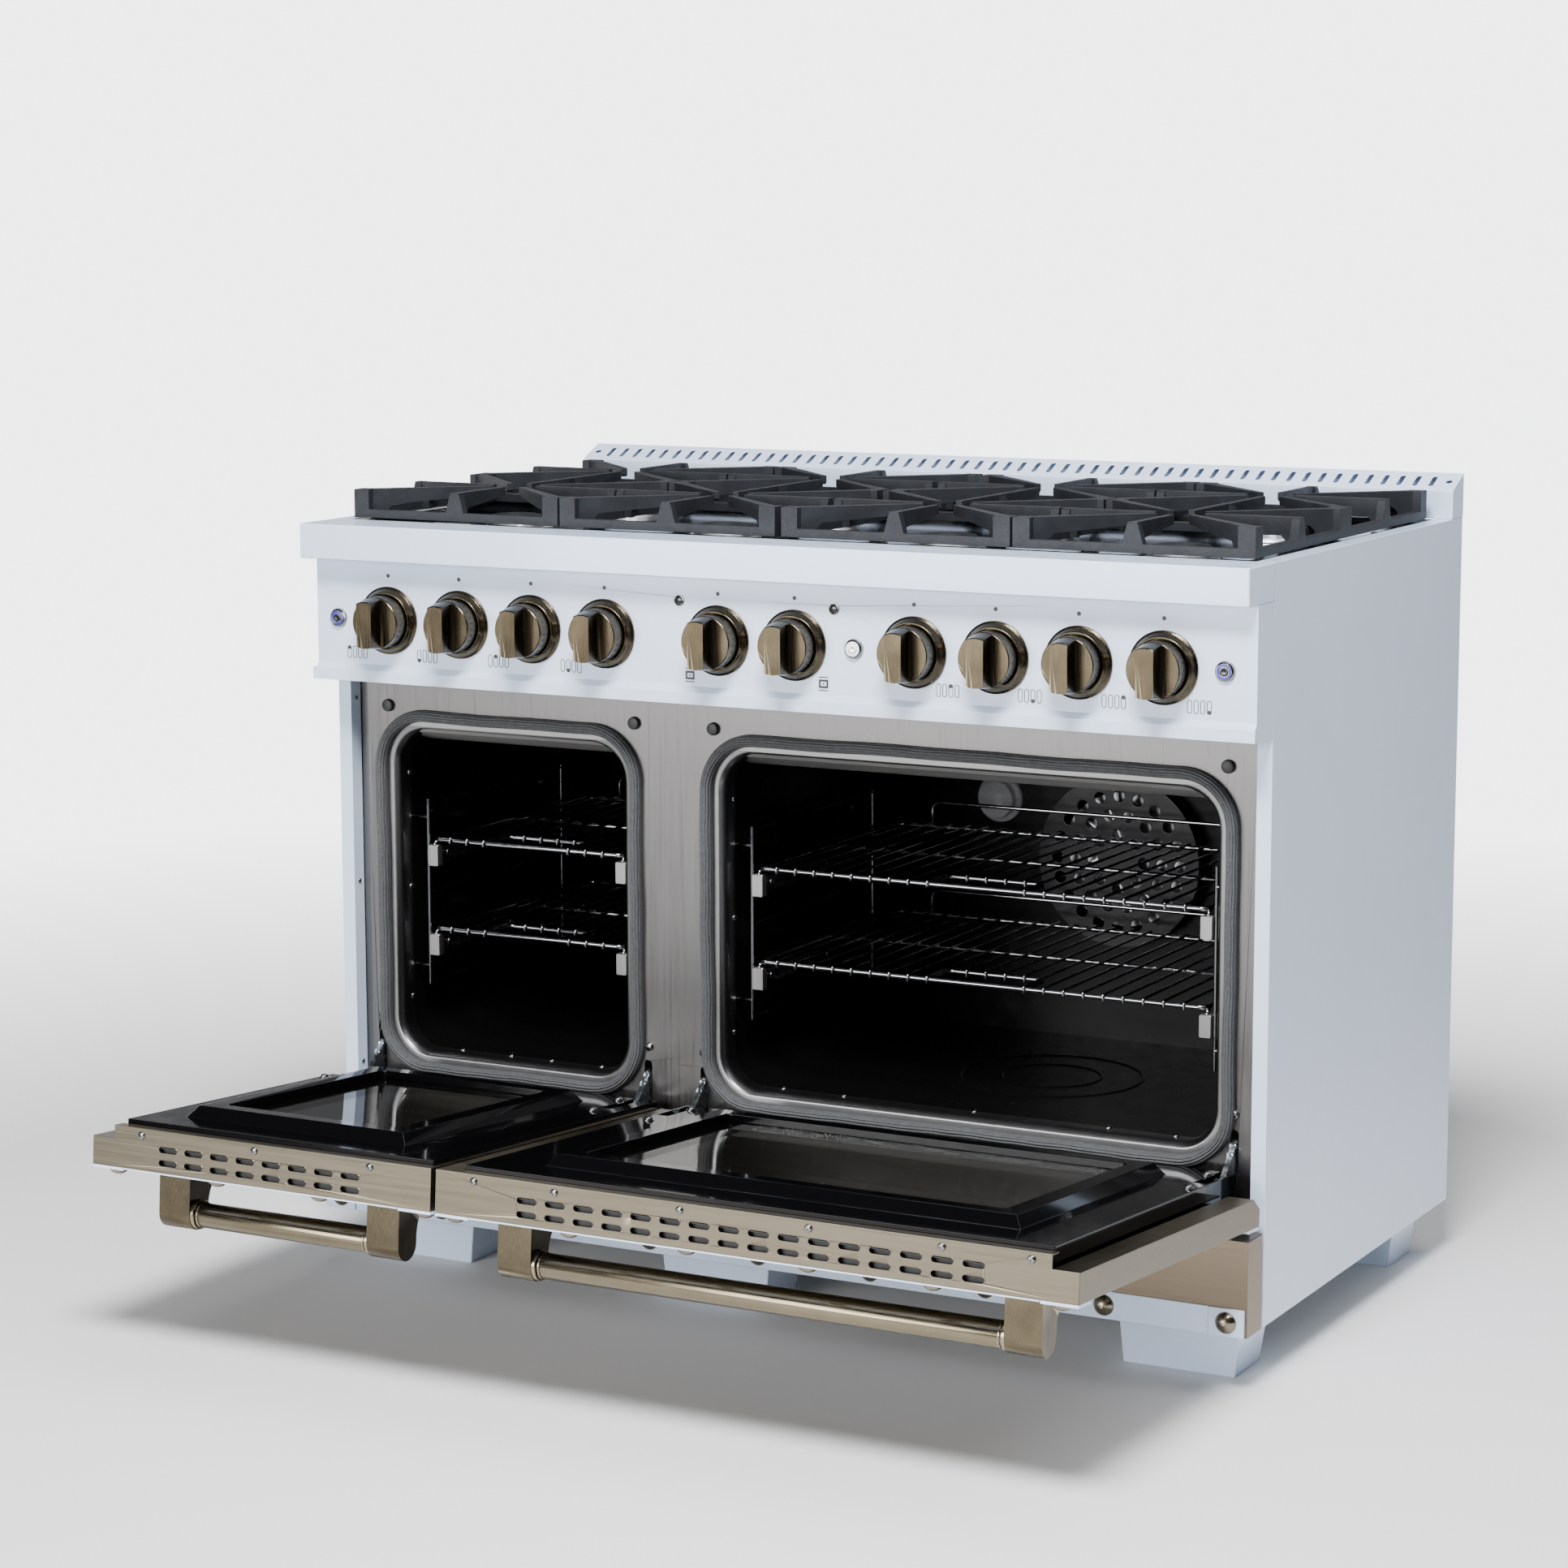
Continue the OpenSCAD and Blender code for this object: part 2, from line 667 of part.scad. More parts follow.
// A wire rack with the moving halves of its two slides
module rack(k, z) {
    half = oven_w(k) / 2 - slide_in;
    n = side_wires[k];
    y0 = rack_y0;
    y1 = rack_y0 + rack_d;
    d = rack_wire;
    loop_h = 31;
    loop_half = half - 48;
    total = 2 * n + gap_wires;
    pitch = 2 * half / (total + 1);
    gap_half = (gap_wires + 1) * pitch / 2;
    color("silver") translate([oven_x(k), 0, z]) {
        rod_x(-half - d / 2, half + d / 2, y0, 0, d);
        rod_x(-half - d / 2, half + d / 2, y1, 0, d);
        rod_x(-half, half, (y0 + y1) / 2, -4, 5);
        rod_x(-gap_half - 1, gap_half + 1, y0 + gap_d, 0, d - 0.6);
        for (s = [-1, 1]) {
            rod_y(s * gap_half, y0, y0 + gap_d + 1, 0, d - 0.6);
            rod_z(s * loop_half, y1, 0, loop_h, 5);
            mirror([s < 0 ? 1 : 0, 0, 0]) {
                rod_y(half, y0, y1, 0, d);
                box([half - 2, y0 + 6, -rail_drop - slide_h / 2], [half + 2, y1 - 46, -d / 2 + 1.5]);
                box([half - 5.5, y0 - 4, -rail_drop - 13], [half + 8, y0 + 7, -d / 2 + 1.5]);
            }
        }
        rod_x(-loop_half - 2, loop_half + 2, y1, loop_h, 5);
        for (i = [0:total - 1]) {
            in_gap = i >= n && i < n + gap_wires;
            rod_y((i - (total - 1) / 2) * pitch, y0 + (in_gap ? gap_d : 0), y1, 1.2, 3.6);
        }
    }
}

module fan_cover() {
    y1 = cavity_y1 - sheet - 0.2;
    color("dimgray") translate([fan_x, y1, fan_z]) rotate([90, 0, 0]) difference() {
        cylinder(h = fan_cover_d, r = fan_cover_r, $fn = 72);
        translate([0, 0, -1]) cylinder(h = fan_cover_d - 1, r = fan_cover_r - 2, $fn = 72);
        for (ring = [[8, 34, 7], [14, 58, 7], [20, 82, 7]], i = [0:ring[0] - 1])
            rotate(i * 360 / ring[0]) translate([ring[1], 0, 0])
                cylinder(h = 40, r = ring[2], $fn = 24);
    }
}

module convection_fan() {
    y1 = cavity_y1 - sheet - 4;
    color("silver") translate([fan_x, y1, fan_z]) rotate([90, 0, 0]) {
        cylinder(h = 3, r = 84, $fn = 64);
        cylinder(h = 16, r = 14, $fn = 32);
        for (i = [0:11]) rotate(i * 30) translate([30, 0, 0]) rotate(25) translate([0, -1, 0])
            cube([48, 2, 15]);
        translate([0, 0, -30]) cylinder(h = 31, r = 5, $fn = 24);
    }
}

lamp_place = [[small_x - 105, 585], [large_x - 172, 548]];

module oven_lamps() {
    y1 = cavity_y1 - sheet - 0.2;
    color("gray") for (p = lamp_place) translate([p[0], y1, p[1]]) rotate([90, 0, 0])
        rotate_extrude($fn = 48) polygon([[0, 0], [30, 0], [30, 5], [25, 9], [23, 17], [12, 22], [0, 23]]);
}

// Hinges: an arm hooked through each slot of the front frame, with the door's pivot pin
module hinge_arm(i) {
    x = hinge_x[i];
    y0 = frame_y;
    pin_end = hinge_side[i] * 20;
    along_x(x - arm_t / 2, x + arm_t / 2) {
        translate([pivot_y, pivot_z]) circle(11, $fn = 40);
        polygon([[pivot_y + 2, pivot_z - 10.5], [y0 + 6, arm_slot_z0 + 6], [y0 + 16, arm_slot_z0 + 8],
            [y0 + 16, arm_slot_z0 + 42], [y0 + 3, arm_slot_z0 + 42], [y0 - 3, arm_slot_z0 + 38],
            [y0 - 9, arm_slot_z0 + 31], [y0 - 20, arm_slot_z0 + 20], [pivot_y - 9, pivot_z + 6]]);
    }
    rod_x(min(x, x + pin_end), max(x, x + pin_end), pivot_y, pivot_z, 2 * pin_r);
}

module hinge_arms() {
    color("silver") for (i = [0:3]) hinge_arm(i);
}

// Doors: drawn closed, then swung open about the hinge pins --------------

module swung() {
    translate([0, pivot_y, pivot_z]) rotate([door_open, 0, 0]) translate([0, -pivot_y, -pivot_z])
        children();
}

function liner_x0(k) = k == 0 ? -half_w + outer_ledge + liner_gap : door_x[1][0] + inner_ledge[1];
function liner_x1(k) = k == 0 ? door_x[0][1] - inner_ledge[0] : half_w - outer_ledge - liner_gap;

module door_window(k, grow, y0, y1) {
    w = 2 * (bead_half[k] - bead_band) + 2 * grow;
    h = bead_u1 - bead_u0 - 2 * bead_band + 2 * grow;
    translate([door_xc[k], 0, door_z + (bead_u0 + bead_u1) / 2]) along_y(y0, y1)
        rounded(w, h, 6 + grow);
}

// Cut-outs in a door for its two hinge arms
module arm_notches(k) {
    for (i = [2 * k, 2 * k + 1])
        box([hinge_x[i] - notch_w / 2, pivot_y - 16, door_z - 40],
            [hinge_x[i] + notch_w / 2, door_y + liner_d + bead_h + 20, door_z + 66]);
}

module door_skin(k) {
    x0 = door_x[k][0];
    x1 = door_x[k][1];
    s = door_sign[k];
    out_x = s > 0 ? x1 : x0;
    in_x = s > 0 ? x0 : x1;
    y0 = door_y;
    z0 = door_z;
    z1 = door_z + door_h;
    step_x = out_x - s * outer_ledge;
    color("tan") swung() difference() {
        union() {
            box([x0, y0, z0], [x1, y0 + sheet, z1]);
            box([x0, y0, z1 - sheet], [x1, y0 + flange_d, z1]);
            box([min(step_x, in_x), y0, z1 - sheet], [max(step_x, in_x), y0 + skin_d, z1]);
            box([min(step_x, in_x), y0 + skin_d - sheet, z1 - 16],
                [max(step_x, in_x), y0 + skin_d, z1]);
            box([x0, y0, z0], [x1, y0 + 19, z0 + sheet]);
            // outer side wall with its chamfered lower corner, and its ledge
            translate([s > 0 ? out_x - sheet : out_x, 0, 0]) along_x(0, sheet)
                polygon([[y0, z0], [y0 + 19.8, z0], [y0 + flange_d, z0 + 19], [y0 + flange_d, z1],
                    [y0, z1]]);
            box([min(step_x, out_x), y0 + flange_d - sheet, z0 + 19],
                [max(step_x, out_x), y0 + flange_d, z1]);
            // inner side wall and its ledge
            box([s > 0 ? in_x : in_x - sheet, y0, z0], [s > 0 ? in_x + sheet : in_x, y0 + skin_d, z1]);
            box([min(in_x, in_x + s * (inner_ledge[k] - 1)), y0 + skin_d - sheet, z0 + 2],
                [max(in_x, in_x + s * (inner_ledge[k] - 1)), y0 + skin_d, z1]);
        }
        door_window(k, 0, y0 - 5, y0 + 10);
        for (i = [0:vent_count[k] - 1], w = [11.5, 26.5])
            translate([(x0 + x1) / 2 + (i - (vent_count[k] - 1) / 2) * vent_pitch, y0 + w, z1 - 8])
                linear_extrude(12) slot2d(vent_len, vent_h);
        arm_notches(k);
    }
}

module door_liner(k) {
    x0 = liner_x0(k);
    x1 = liner_x1(k);
    y1 = door_y + liner_d;
    zb0 = door_z + bead_u0;
    zb1 = door_z + bead_u1;
    bx0 = door_xc[k] - bead_half[k];
    bx1 = door_xc[k] + bead_half[k];
    top = y1 + bead_h;
    color("black") swung() difference() {
        union() {
            box([x0, y1 - liner_wall, door_z + liner_low], [x1, y1, door_z + liner_top]);
            intersection() {
                along_x(bx0, bx1) polygon([[y1 - 1, zb0], [y1, zb0], [top, zb0 + bead_slope],
                    [top, zb1 - bead_slope], [y1, zb1], [y1 - 1, zb1]]);
                translate([0, 0, zb0]) linear_extrude(zb1 - zb0) polygon([[bx0, y1 - 1], [bx0, y1],
                    [bx0 + bead_slope, top], [bx1 - bead_slope, top], [bx1, y1], [bx1, y1 - 1]]);
            }
        }
        difference() {
            box([x0 + sheet, y1 - liner_wall - 5, door_z + liner_low + sheet],
                [x1 - sheet, y1 - sheet, door_z + liner_top - sheet]);
            door_window(k, 6, y1 - liner_wall - 6, y1);
        }
        door_window(k, 0, y1 - liner_wall - 6, top + 5);
        door_window(k, 4, y1 - liner_wall - 6, top - glass_drop);
        arm_notches(k);
    }
    color("black") swung() for (i = [2 * k, 2 * k + 1]) {
        x = hinge_x[i] + hinge_side[i] * 14;
        difference() {
            box([x - 5, y1 - liner_wall, door_z + liner_low], [x + 5, pivot_y + 7, pivot_z + 8]);
            rod_x(x - 20, x + 20, pivot_y, pivot_z, 2 * (pin_r + pin_clear));
        }
    }
}

// Inner pane under the liner's frame, and the outer pane behind the skin
module door_glass(k) {
    inner_y = door_y + liner_d + bead_h - glass_drop;
    color("slategray", 0.5) swung() {
        door_window(k, 3.5, inner_y - glass_t - 0.2, inner_y - 0.2);
        door_window(k, 14, door_y + sheet + 0.2, door_y + sheet + 0.2 + glass_t);
    }
}

module door_trim(k) {
    x0 = door_x[k][0];
    x1 = door_x[k][1];
    z1 = door_z + door_h;
    low_h = rail_strip_h;
    color("white") swung() {
        box([x0 + cap_w + 0.5, door_y - strip_t, z1 - rail_strip_h], [x1 - cap_w - 0.5, door_y, z1]);
        box([x0 + cap_w + 0.5, door_y - strip_t, door_z], [x1 - cap_w - 0.5, door_y, door_z + low_h]);
        for (x = [x0, x1 - cap_w]) {
            box([x, door_y - cap_t, z1 - rail_strip_h], [x + cap_w, door_y, z1]);
            box([x, door_y - cap_t, door_z], [x + cap_w, door_y, door_z + low_h]);
        }
    }
}

module door_studs(k) {
    n = stud_count[k];
    x0 = door_x[k][0] + stud_in[k][0];
    pitch = (door_x[k][1] - stud_in[k][1] - x0) / (n - 1);
    row = door_z + door_h - rail_strip_h / 2;
    color("darkgoldenrod") swung() for (i = [0:n - 1])
        translate([x0 + i * pitch, door_y - (i == 0 || i == n - 1 ? cap_t : strip_t), row]) stud();
}

function post_x(k) = [door_x[k][0] + post_in[k][0] + post_w / 2,
    door_x[k][1] - post_in[k][1] - post_w / 2];

module handle_bar(k) {
    p = post_x(k);
    color("darkgoldenrod") swung()
        rod_x(p[0] + 10, p[1] - 10, door_y - bar_out, door_z + bar_u, bar_d);
}

// A post seen from its side: straight on top, curving down to the rounded tip
module post_profile() {
    z = door_z + bar_u;
    difference() {
        union() {
            polygon([[door_y - 0.1, z + 18], [door_y - 0.1, z - 43], [door_y - 9, z - 43],
                [door_y - bar_out, z - 17], [door_y - bar_out, z + 18]]);
            translate([door_y - bar_out, z]) circle(18, $fn = 48);
        }
        translate([door_y - 47, z - 64]) circle(46, $fn = 64);
    }
}

module handle_posts(k) {
    color("darkgoldenrod") swung() difference() {
        for (x = post_x(k)) translate([x - post_w / 2, 0, 0]) along_x(0, post_w) post_profile();
        for (s = [0, 1]) {
            x = post_x(k)[s];
            translate([s == 0 ? x + 9.8 : x - 40, door_y - bar_out, door_z + bar_u])
                rotate([0, 90, 0]) cylinder(h = 30.2, r = bar_d / 2 + 0.05, $fn = 40);
        }
    }
}

// The whole range --------------------------------------------------------

side_panel(-1);  // side_panel_left
side_panel(1);  // side_panel_right
back_panel();
base_frame();
front_frame();
oven_liner(small_x, small_w, false);  // oven_liner_left
oven_liner(large_x, large_w, true);  // oven_liner_right
oven_gaskets();
cooktop();
front_rail();
control_panel();
backguard();
kick_panel();
base_rail();
base_studs();
feet();
knob_bezels();
burner_bases();
burner_caps();
rack_supports();
fan_cover();
convection_fan();
oven_lamps();
hinge_arms();
gas_manifold();
grate(0);  // grate_1
grate(1);  // grate_2
grate(2);  // grate_3
grate(3);  // grate_4
door_skin(0);  // door_skin_left
door_liner(0);  // door_liner_left
door_glass(0);  // door_glass_left
door_trim(0);  // door_trim_left
door_studs(0);  // door_studs_left
handle_bar(0);  // handle_bar_left
handle_posts(0);  // handle_posts_left
door_skin(1);  // door_skin_right
door_liner(1);  // door_liner_right
door_glass(1);  // door_glass_right
door_trim(1);  // door_trim_right
door_studs(1);  // door_studs_right
handle_bar(1);  // handle_bar_right
handle_posts(1);  // handle_posts_right
rack(0, rack_high_z);  // rack_left_upper
rack(0, rack_low_z);  // rack_left_lower
rack(1, rack_high_z);  // rack_right_upper
rack(1, rack_low_z);  // rack_right_lower
knob_at(0);  // knob_1
knob_at(1);  // knob_2
knob_at(2);  // knob_3
knob_at(3);  // knob_4
knob_at(4);  // knob_5
knob_at(5);  // knob_6
knob_at(6);  // knob_7
knob_at(7);  // knob_8
knob_at(8);  // knob_9
knob_at(9);  // knob_10
button(-light_x);  // button_light_left
button(light_x);  // button_light_right
button(fan_button_x);  // button_fan
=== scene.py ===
"""Looks of the freestanding gas range: two ovens and eight burners, white enamel, antique brass handles."""

import json
import math

import bmesh
import bpy
from mathutils import Matrix, Vector

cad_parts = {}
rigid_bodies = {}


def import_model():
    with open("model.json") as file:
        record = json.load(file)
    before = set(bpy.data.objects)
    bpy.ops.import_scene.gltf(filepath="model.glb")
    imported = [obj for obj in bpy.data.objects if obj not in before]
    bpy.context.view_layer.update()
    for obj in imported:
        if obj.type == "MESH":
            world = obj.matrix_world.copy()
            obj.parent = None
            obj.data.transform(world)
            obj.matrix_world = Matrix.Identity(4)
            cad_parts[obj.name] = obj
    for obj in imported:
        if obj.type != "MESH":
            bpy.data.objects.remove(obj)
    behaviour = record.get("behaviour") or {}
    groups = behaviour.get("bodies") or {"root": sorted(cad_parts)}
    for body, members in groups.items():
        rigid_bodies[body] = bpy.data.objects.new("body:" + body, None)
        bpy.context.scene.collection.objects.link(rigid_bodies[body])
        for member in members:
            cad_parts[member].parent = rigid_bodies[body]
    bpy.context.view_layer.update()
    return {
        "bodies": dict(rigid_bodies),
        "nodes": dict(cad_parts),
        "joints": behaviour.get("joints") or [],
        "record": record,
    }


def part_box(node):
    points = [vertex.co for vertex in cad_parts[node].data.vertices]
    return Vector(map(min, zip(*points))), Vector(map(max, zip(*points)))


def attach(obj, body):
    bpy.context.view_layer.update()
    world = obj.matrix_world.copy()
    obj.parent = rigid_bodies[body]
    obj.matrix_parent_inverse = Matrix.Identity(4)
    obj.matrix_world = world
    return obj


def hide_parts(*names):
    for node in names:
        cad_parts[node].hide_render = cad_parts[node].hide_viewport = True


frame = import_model()
nodes = frame["nodes"]
BODY = "range_body"
MM = 0.001
FORWARD = Vector((0, -1, 0))
UP = Vector((0, 0, 1))
RIGHT = Vector((1, 0, 0))
SIDES = ("left", "right")

# Places on the range, in millimetres
FRAME_Y = -38.0      # face of the front frame
PANEL_Y = -108.0     # face of the control panel
BACK_Y = 562.02      # face of the back panel
KNOB_X = (-500, -400, -300, -200, -49.5, 49.5, 200, 300, 400, 500)
OVEN_KNOB_REACH = 100    # the knobs nearer the middle than this belong to the ovens
KNOB_R = 31.5
CONTROL_Z = 799.5    # height of the knobs and the buttons
BUTTON_X = {"button_light_left": -571.5, "button_light_right": 571.5, "button_fan": 125.5}
INDICATOR_X, INDICATOR_Z = (-100, 100), 843

# Mouths of the two ovens: centre and width in X, and their lower and upper edges
OVENS = ((-378.5, 329.0), (226.5, 629.0))
MOUTH_LOW, MOUTH_HIGH, MOUTH_R = 253.0, 661.0, 46.0

# Racks: front and rear ends, and the heights of the two levels
RACK_Y0, RACK_Y1 = 2.0, 368.0
RACK_LEVELS = (("upper", 517.0), ("lower", 405.0))

# Doors: hinge axis (Y, Z), how far they stand open, the closed door's lower front edge and its height,
# each door's middle, half the width inside its liner's bead, and the places of its hinges
PIVOT = (-70.7, 220.1)
OPEN = math.radians(85.6)
DOOR_Y, DOOR_Z, DOOR_H = -106.0, 224.0, 488.0
SWING = (Matrix.Translation((0, PIVOT[0], PIVOT[1])) @ Matrix.Rotation(OPEN, 4, "X")
         @ Matrix.Translation((0, -PIVOT[0], -PIVOT[1])))
DOOR_CENTRE = (-381.0, 230.0)
BEAD_HALF = (148.0, 282.0)
HINGE_X = ((-567.0, -187.0), (-110.0, 562.0))


# ---------------------------------------------------------------- camera and light

def make_camera():
    """A long lens from the front right, a little above the range."""
    data = bpy.data.cameras.new("camera")
    data.sensor_width = 36.0
    data.lens = 90.2
    cam = bpy.data.objects.new("camera", data)
    bpy.context.scene.collection.objects.link(cam)
    azimuth, elevation, roll = (math.radians(a) for a in (28.19, 8.853, 0.152))
    back = Vector((math.sin(azimuth) * math.cos(elevation), -math.cos(azimuth) * math.cos(elevation),
                   math.sin(elevation)))
    turn = (-back).to_track_quat("-Z", "Y").to_matrix()
    cam.matrix_world = Matrix.Translation((2.1238, -4.0042, 1.3281)) @ (
        turn @ Matrix.Rotation(-roll, 3, "Z")).to_4x4()
    data.clip_start = 0.05
    data.clip_end = 60
    bpy.context.scene.camera = cam


def area_light(name, place, target, size, power, colour=(1, 1, 1)):
    """A rectangular soft light at place that faces target."""
    data = bpy.data.lights.new(name, "AREA")
    data.shape = "RECTANGLE"
    data.size, data.size_y = size
    data.energy = power
    data.color = colour
    lamp = bpy.data.objects.new(name, data)
    bpy.context.scene.collection.objects.link(lamp)
    lamp.location = place
    lamp.rotation_euler = (Vector(target) - Vector(place)).to_track_quat("-Z", "Y").to_euler()


def make_studio():
    """A world that is bright behind the range and dark before it, and four soft lights."""
    world = bpy.data.worlds.new("studio")
    bpy.context.scene.world = world
    world.use_nodes = True
    nt = world.node_tree
    apart = node(nt, "ShaderNodeSeparateXYZ")
    nt.links.new(node(nt, "ShaderNodeTexCoord").outputs["Generated"], apart.inputs["Vector"])
    behind = spread(nt, apart.outputs["Y"], 0.34, 4.4, (0.3, 0.75))
    overhead = spread(nt, apart.outputs["Z"], 1.0, 0.05, (0.045, 0.085))
    right = spread(nt, apart.outputs["X"], 1.0, 0.16, (-0.25, 0.12))
    for factor in (overhead, right):
        product = node(nt, "ShaderNodeMath", operation="MULTIPLY")
        nt.links.new(behind, product.inputs[0])
        nt.links.new(factor, product.inputs[1])
        behind = product.outputs[0]
    sky = nt.nodes["Background"]
    sky.inputs["Color"].default_value = (0.95, 0.97, 1.0, 1)
    nt.links.new(behind, sky.inputs["Strength"])
    area_light("key", (0.9, -2.1, 3.5), (0, 0, 0.6), (1.3, 0.9), 330)
    area_light("front", (-1.6, -5.0, 1.2), (0, 0, 0.5), (3.0, 1.8), 270)
    area_light("top", (0.2, 0.9, 3.6), (0, 0.1, 0.8), (3.2, 1.6), 45)
    area_light("side", (1.7, -0.1, 2.1), (0.6, 0.0, 0.9), (1.0, 1.2), 15, (0.93, 0.96, 1.0))


# ---------------------------------------------------------------- shader helpers

def material(name):
    """A new material, its node tree and its shader."""
    m = bpy.data.materials.new(name)
    m.use_nodes = True
    nt = m.node_tree
    return m, nt, nt.nodes["Principled BSDF"]


def node(nt, kind, **values):
    """Adds a node and sets its properties."""
    n = nt.nodes.new(kind)
    for key, value in values.items():
        setattr(n, key, value)
    return n


def object_coords(nt, scale=(1, 1, 1)):
    """Object-space coordinates in metres, stretched by scale."""
    coord = node(nt, "ShaderNodeTexCoord")
    mapping = node(nt, "ShaderNodeMapping")
    mapping.inputs["Scale"].default_value = scale
    nt.links.new(coord.outputs["Object"], mapping.inputs["Vector"])
    return mapping.outputs["Vector"]


def noise(nt, vector, scale, detail=3.0, roughness=0.5):
    """Fractal noise, as a value near 0.5."""
    n = node(nt, "ShaderNodeTexNoise")
    n.inputs["Scale"].default_value = scale
    n.inputs["Detail"].default_value = detail
    n.inputs["Roughness"].default_value = roughness
    nt.links.new(vector, n.inputs["Vector"])
    return n.outputs["Fac"]


def spread(nt, value, low, high, src=(0.3, 0.7)):
    """Maps a value from the range src to low..high."""
    n = node(nt, "ShaderNodeMapRange")
    n.inputs["From Min"].default_value, n.inputs["From Max"].default_value = src
    n.inputs["To Min"].default_value, n.inputs["To Max"].default_value = low, high
    nt.links.new(value, n.inputs["Value"])
    return n.outputs["Result"]


def colour_mix(nt, value, a, b):
    """Goes from colour a to colour b with value."""
    n = node(nt, "ShaderNodeMix", data_type="RGBA")
    n.inputs["A"].default_value = (*a, 1)
    n.inputs["B"].default_value = (*b, 1)
    nt.links.new(value, n.inputs["Factor"])
    return n.outputs["Result"]


def tint(nt, shader, value, colour, low=0.9):
    """Gives the shader its colour, darkened to the share low where value is 0."""
    nt.links.new(colour_mix(nt, value, [c * low for c in colour], colour), shader.inputs["Base Color"])


def roughen(nt, shader, value, low, high, src=(0.3, 0.7)):
    """Lets the shader's roughness go from low to high with a noise value."""
    nt.links.new(spread(nt, value, low, high, src), shader.inputs["Roughness"])


def bump(nt, shader, height, strength, distance):
    """Raises the shader's surface by a height value; distance is in metres."""
    n = node(nt, "ShaderNodeBump")
    n.inputs["Strength"].default_value = strength
    n.inputs["Distance"].default_value = distance
    nt.links.new(height, n.inputs["Height"])
    nt.links.new(n.outputs["Normal"], shader.inputs["Normal"])


def enamel(name, colour, roughness, peel, coat=0.5, specular=0.5):
    """Glossy paint or vitreous enamel with a faint orange peel."""
    m, nt, s = material(name)
    at = object_coords(nt)
    tint(nt, s, spread(nt, noise(nt, at, 6, 2), 0, 1), colour, 0.97)
    roughen(nt, s, noise(nt, at, 35, 3), roughness * 0.85, roughness * 1.2)
    s.inputs["Coat Weight"].default_value = coat
    s.inputs["Coat Roughness"].default_value = 0.06
    s.inputs["Specular IOR Level"].default_value = specular
    bump(nt, s, noise(nt, at, 900, 2), peel, 0.0002)
    return m


GRAIN_RANGE = (0.35, 0.65)    # the part of a fine noise's values that is used


def brushed(name, colour, along, roughness=0.3, depth=0.25, metallic=1.0, tone=0.86):
    """Metal with a fine grain along one axis; along is the axis index."""
    m, nt, s = material(name)
    fine = [2600.0, 2600.0, 2600.0]
    fine[along] = 14.0
    streak = noise(nt, object_coords(nt, fine), 1.0, 2)
    broad_scale = [260.0, 260.0, 260.0]
    broad_scale[along] = 3.0
    band = noise(nt, object_coords(nt, broad_scale), 1.0, 2)
    fine_share = 0.55
    mixed = node(nt, "ShaderNodeMath", operation="MULTIPLY_ADD")
    mixed.inputs[1].default_value = fine_share
    nt.links.new(streak, mixed.inputs[0])
    half = node(nt, "ShaderNodeMath", operation="MULTIPLY")
    half.inputs[1].default_value = 1 - fine_share
    nt.links.new(band, half.inputs[0])
    nt.links.new(half.outputs[0], mixed.inputs[2])
    grain = mixed.outputs[0]
    tint(nt, s, spread(nt, grain, 0, 1, GRAIN_RANGE), colour, tone)
    s.inputs["Metallic"].default_value = metallic
    roughen(nt, s, grain, roughness * 0.8, roughness * 1.25, GRAIN_RANGE)
    s.inputs["Anisotropic"].default_value = 0.4
    bump(nt, s, grain, depth, 0.00006)
    return m


def antique_brass(name, along=2):
    """Brushed dark brass: browner in broad patches, with a painted highlight that turns its sharp edges
    pale.
    """
    m, nt, s = material(name)
    scale = [1900.0, 1900.0, 1900.0]
    scale[along] = 20.0
    grain = noise(nt, object_coords(nt, scale), 1.0, 2)
    patch = noise(nt, object_coords(nt), 28, 3)
    base = colour_mix(nt, spread(nt, patch, 0, 1), (0.058, 0.046, 0.029), (0.092, 0.074, 0.047))
    geo = node(nt, "ShaderNodeNewGeometry")
    # pale colour on the sharp edges, where the pointiness is high: a painted highlight
    edge = spread(nt, geo.outputs["Pointiness"], 0, 0.75, (0.53, 0.60))
    edge_highlight = node(nt, "ShaderNodeMix", data_type="RGBA")
    nt.links.new(edge, edge_highlight.inputs["Factor"])
    nt.links.new(base, edge_highlight.inputs["A"])
    edge_highlight.inputs["B"].default_value = (0.50, 0.43, 0.30, 1)
    nt.links.new(edge_highlight.outputs["Result"], s.inputs["Base Color"])
    s.inputs["Metallic"].default_value = 1.0
    roughen(nt, s, grain, 0.18, 0.32, GRAIN_RANGE)
    s.inputs["Anisotropic"].default_value = 0.3
    bump(nt, s, grain, 0.18, 0.00006)
    return m


def cast_iron(name):
    """Black enamelled cast iron: grainy and nearly matt."""
    m, nt, s = material(name)
    at = object_coords(nt)
    grain = noise(nt, at, 520, 3, 0.6)
    patch = spread(nt, noise(nt, at, 40, 3), 0, 1)
    nt.links.new(colour_mix(nt, patch, (0.012, 0.013, 0.016), (0.019, 0.021, 0.025)), s.inputs["Base Color"])
    roughen(nt, s, grain, 0.38, 0.58)
    s.inputs["Specular IOR Level"].default_value = 0.25
    bump(nt, s, grain, 0.55, 0.0006)
    return m


def polished(name, colour, roughness, spotty=1.0):
    """Smooth bare metal; spotty is how much its roughness varies."""
    m, nt, s = material(name)
    at = object_coords(nt)
    tint(nt, s, spread(nt, noise(nt, at, 60, 2), 0, 1), colour)
    s.inputs["Metallic"].default_value = 1.0
    spots = noise(nt, at, 140, 2)
    roughen(nt, s, spots, roughness * (1 - 0.3 * spotty), roughness * (1 + 0.5 * spotty))
    return m


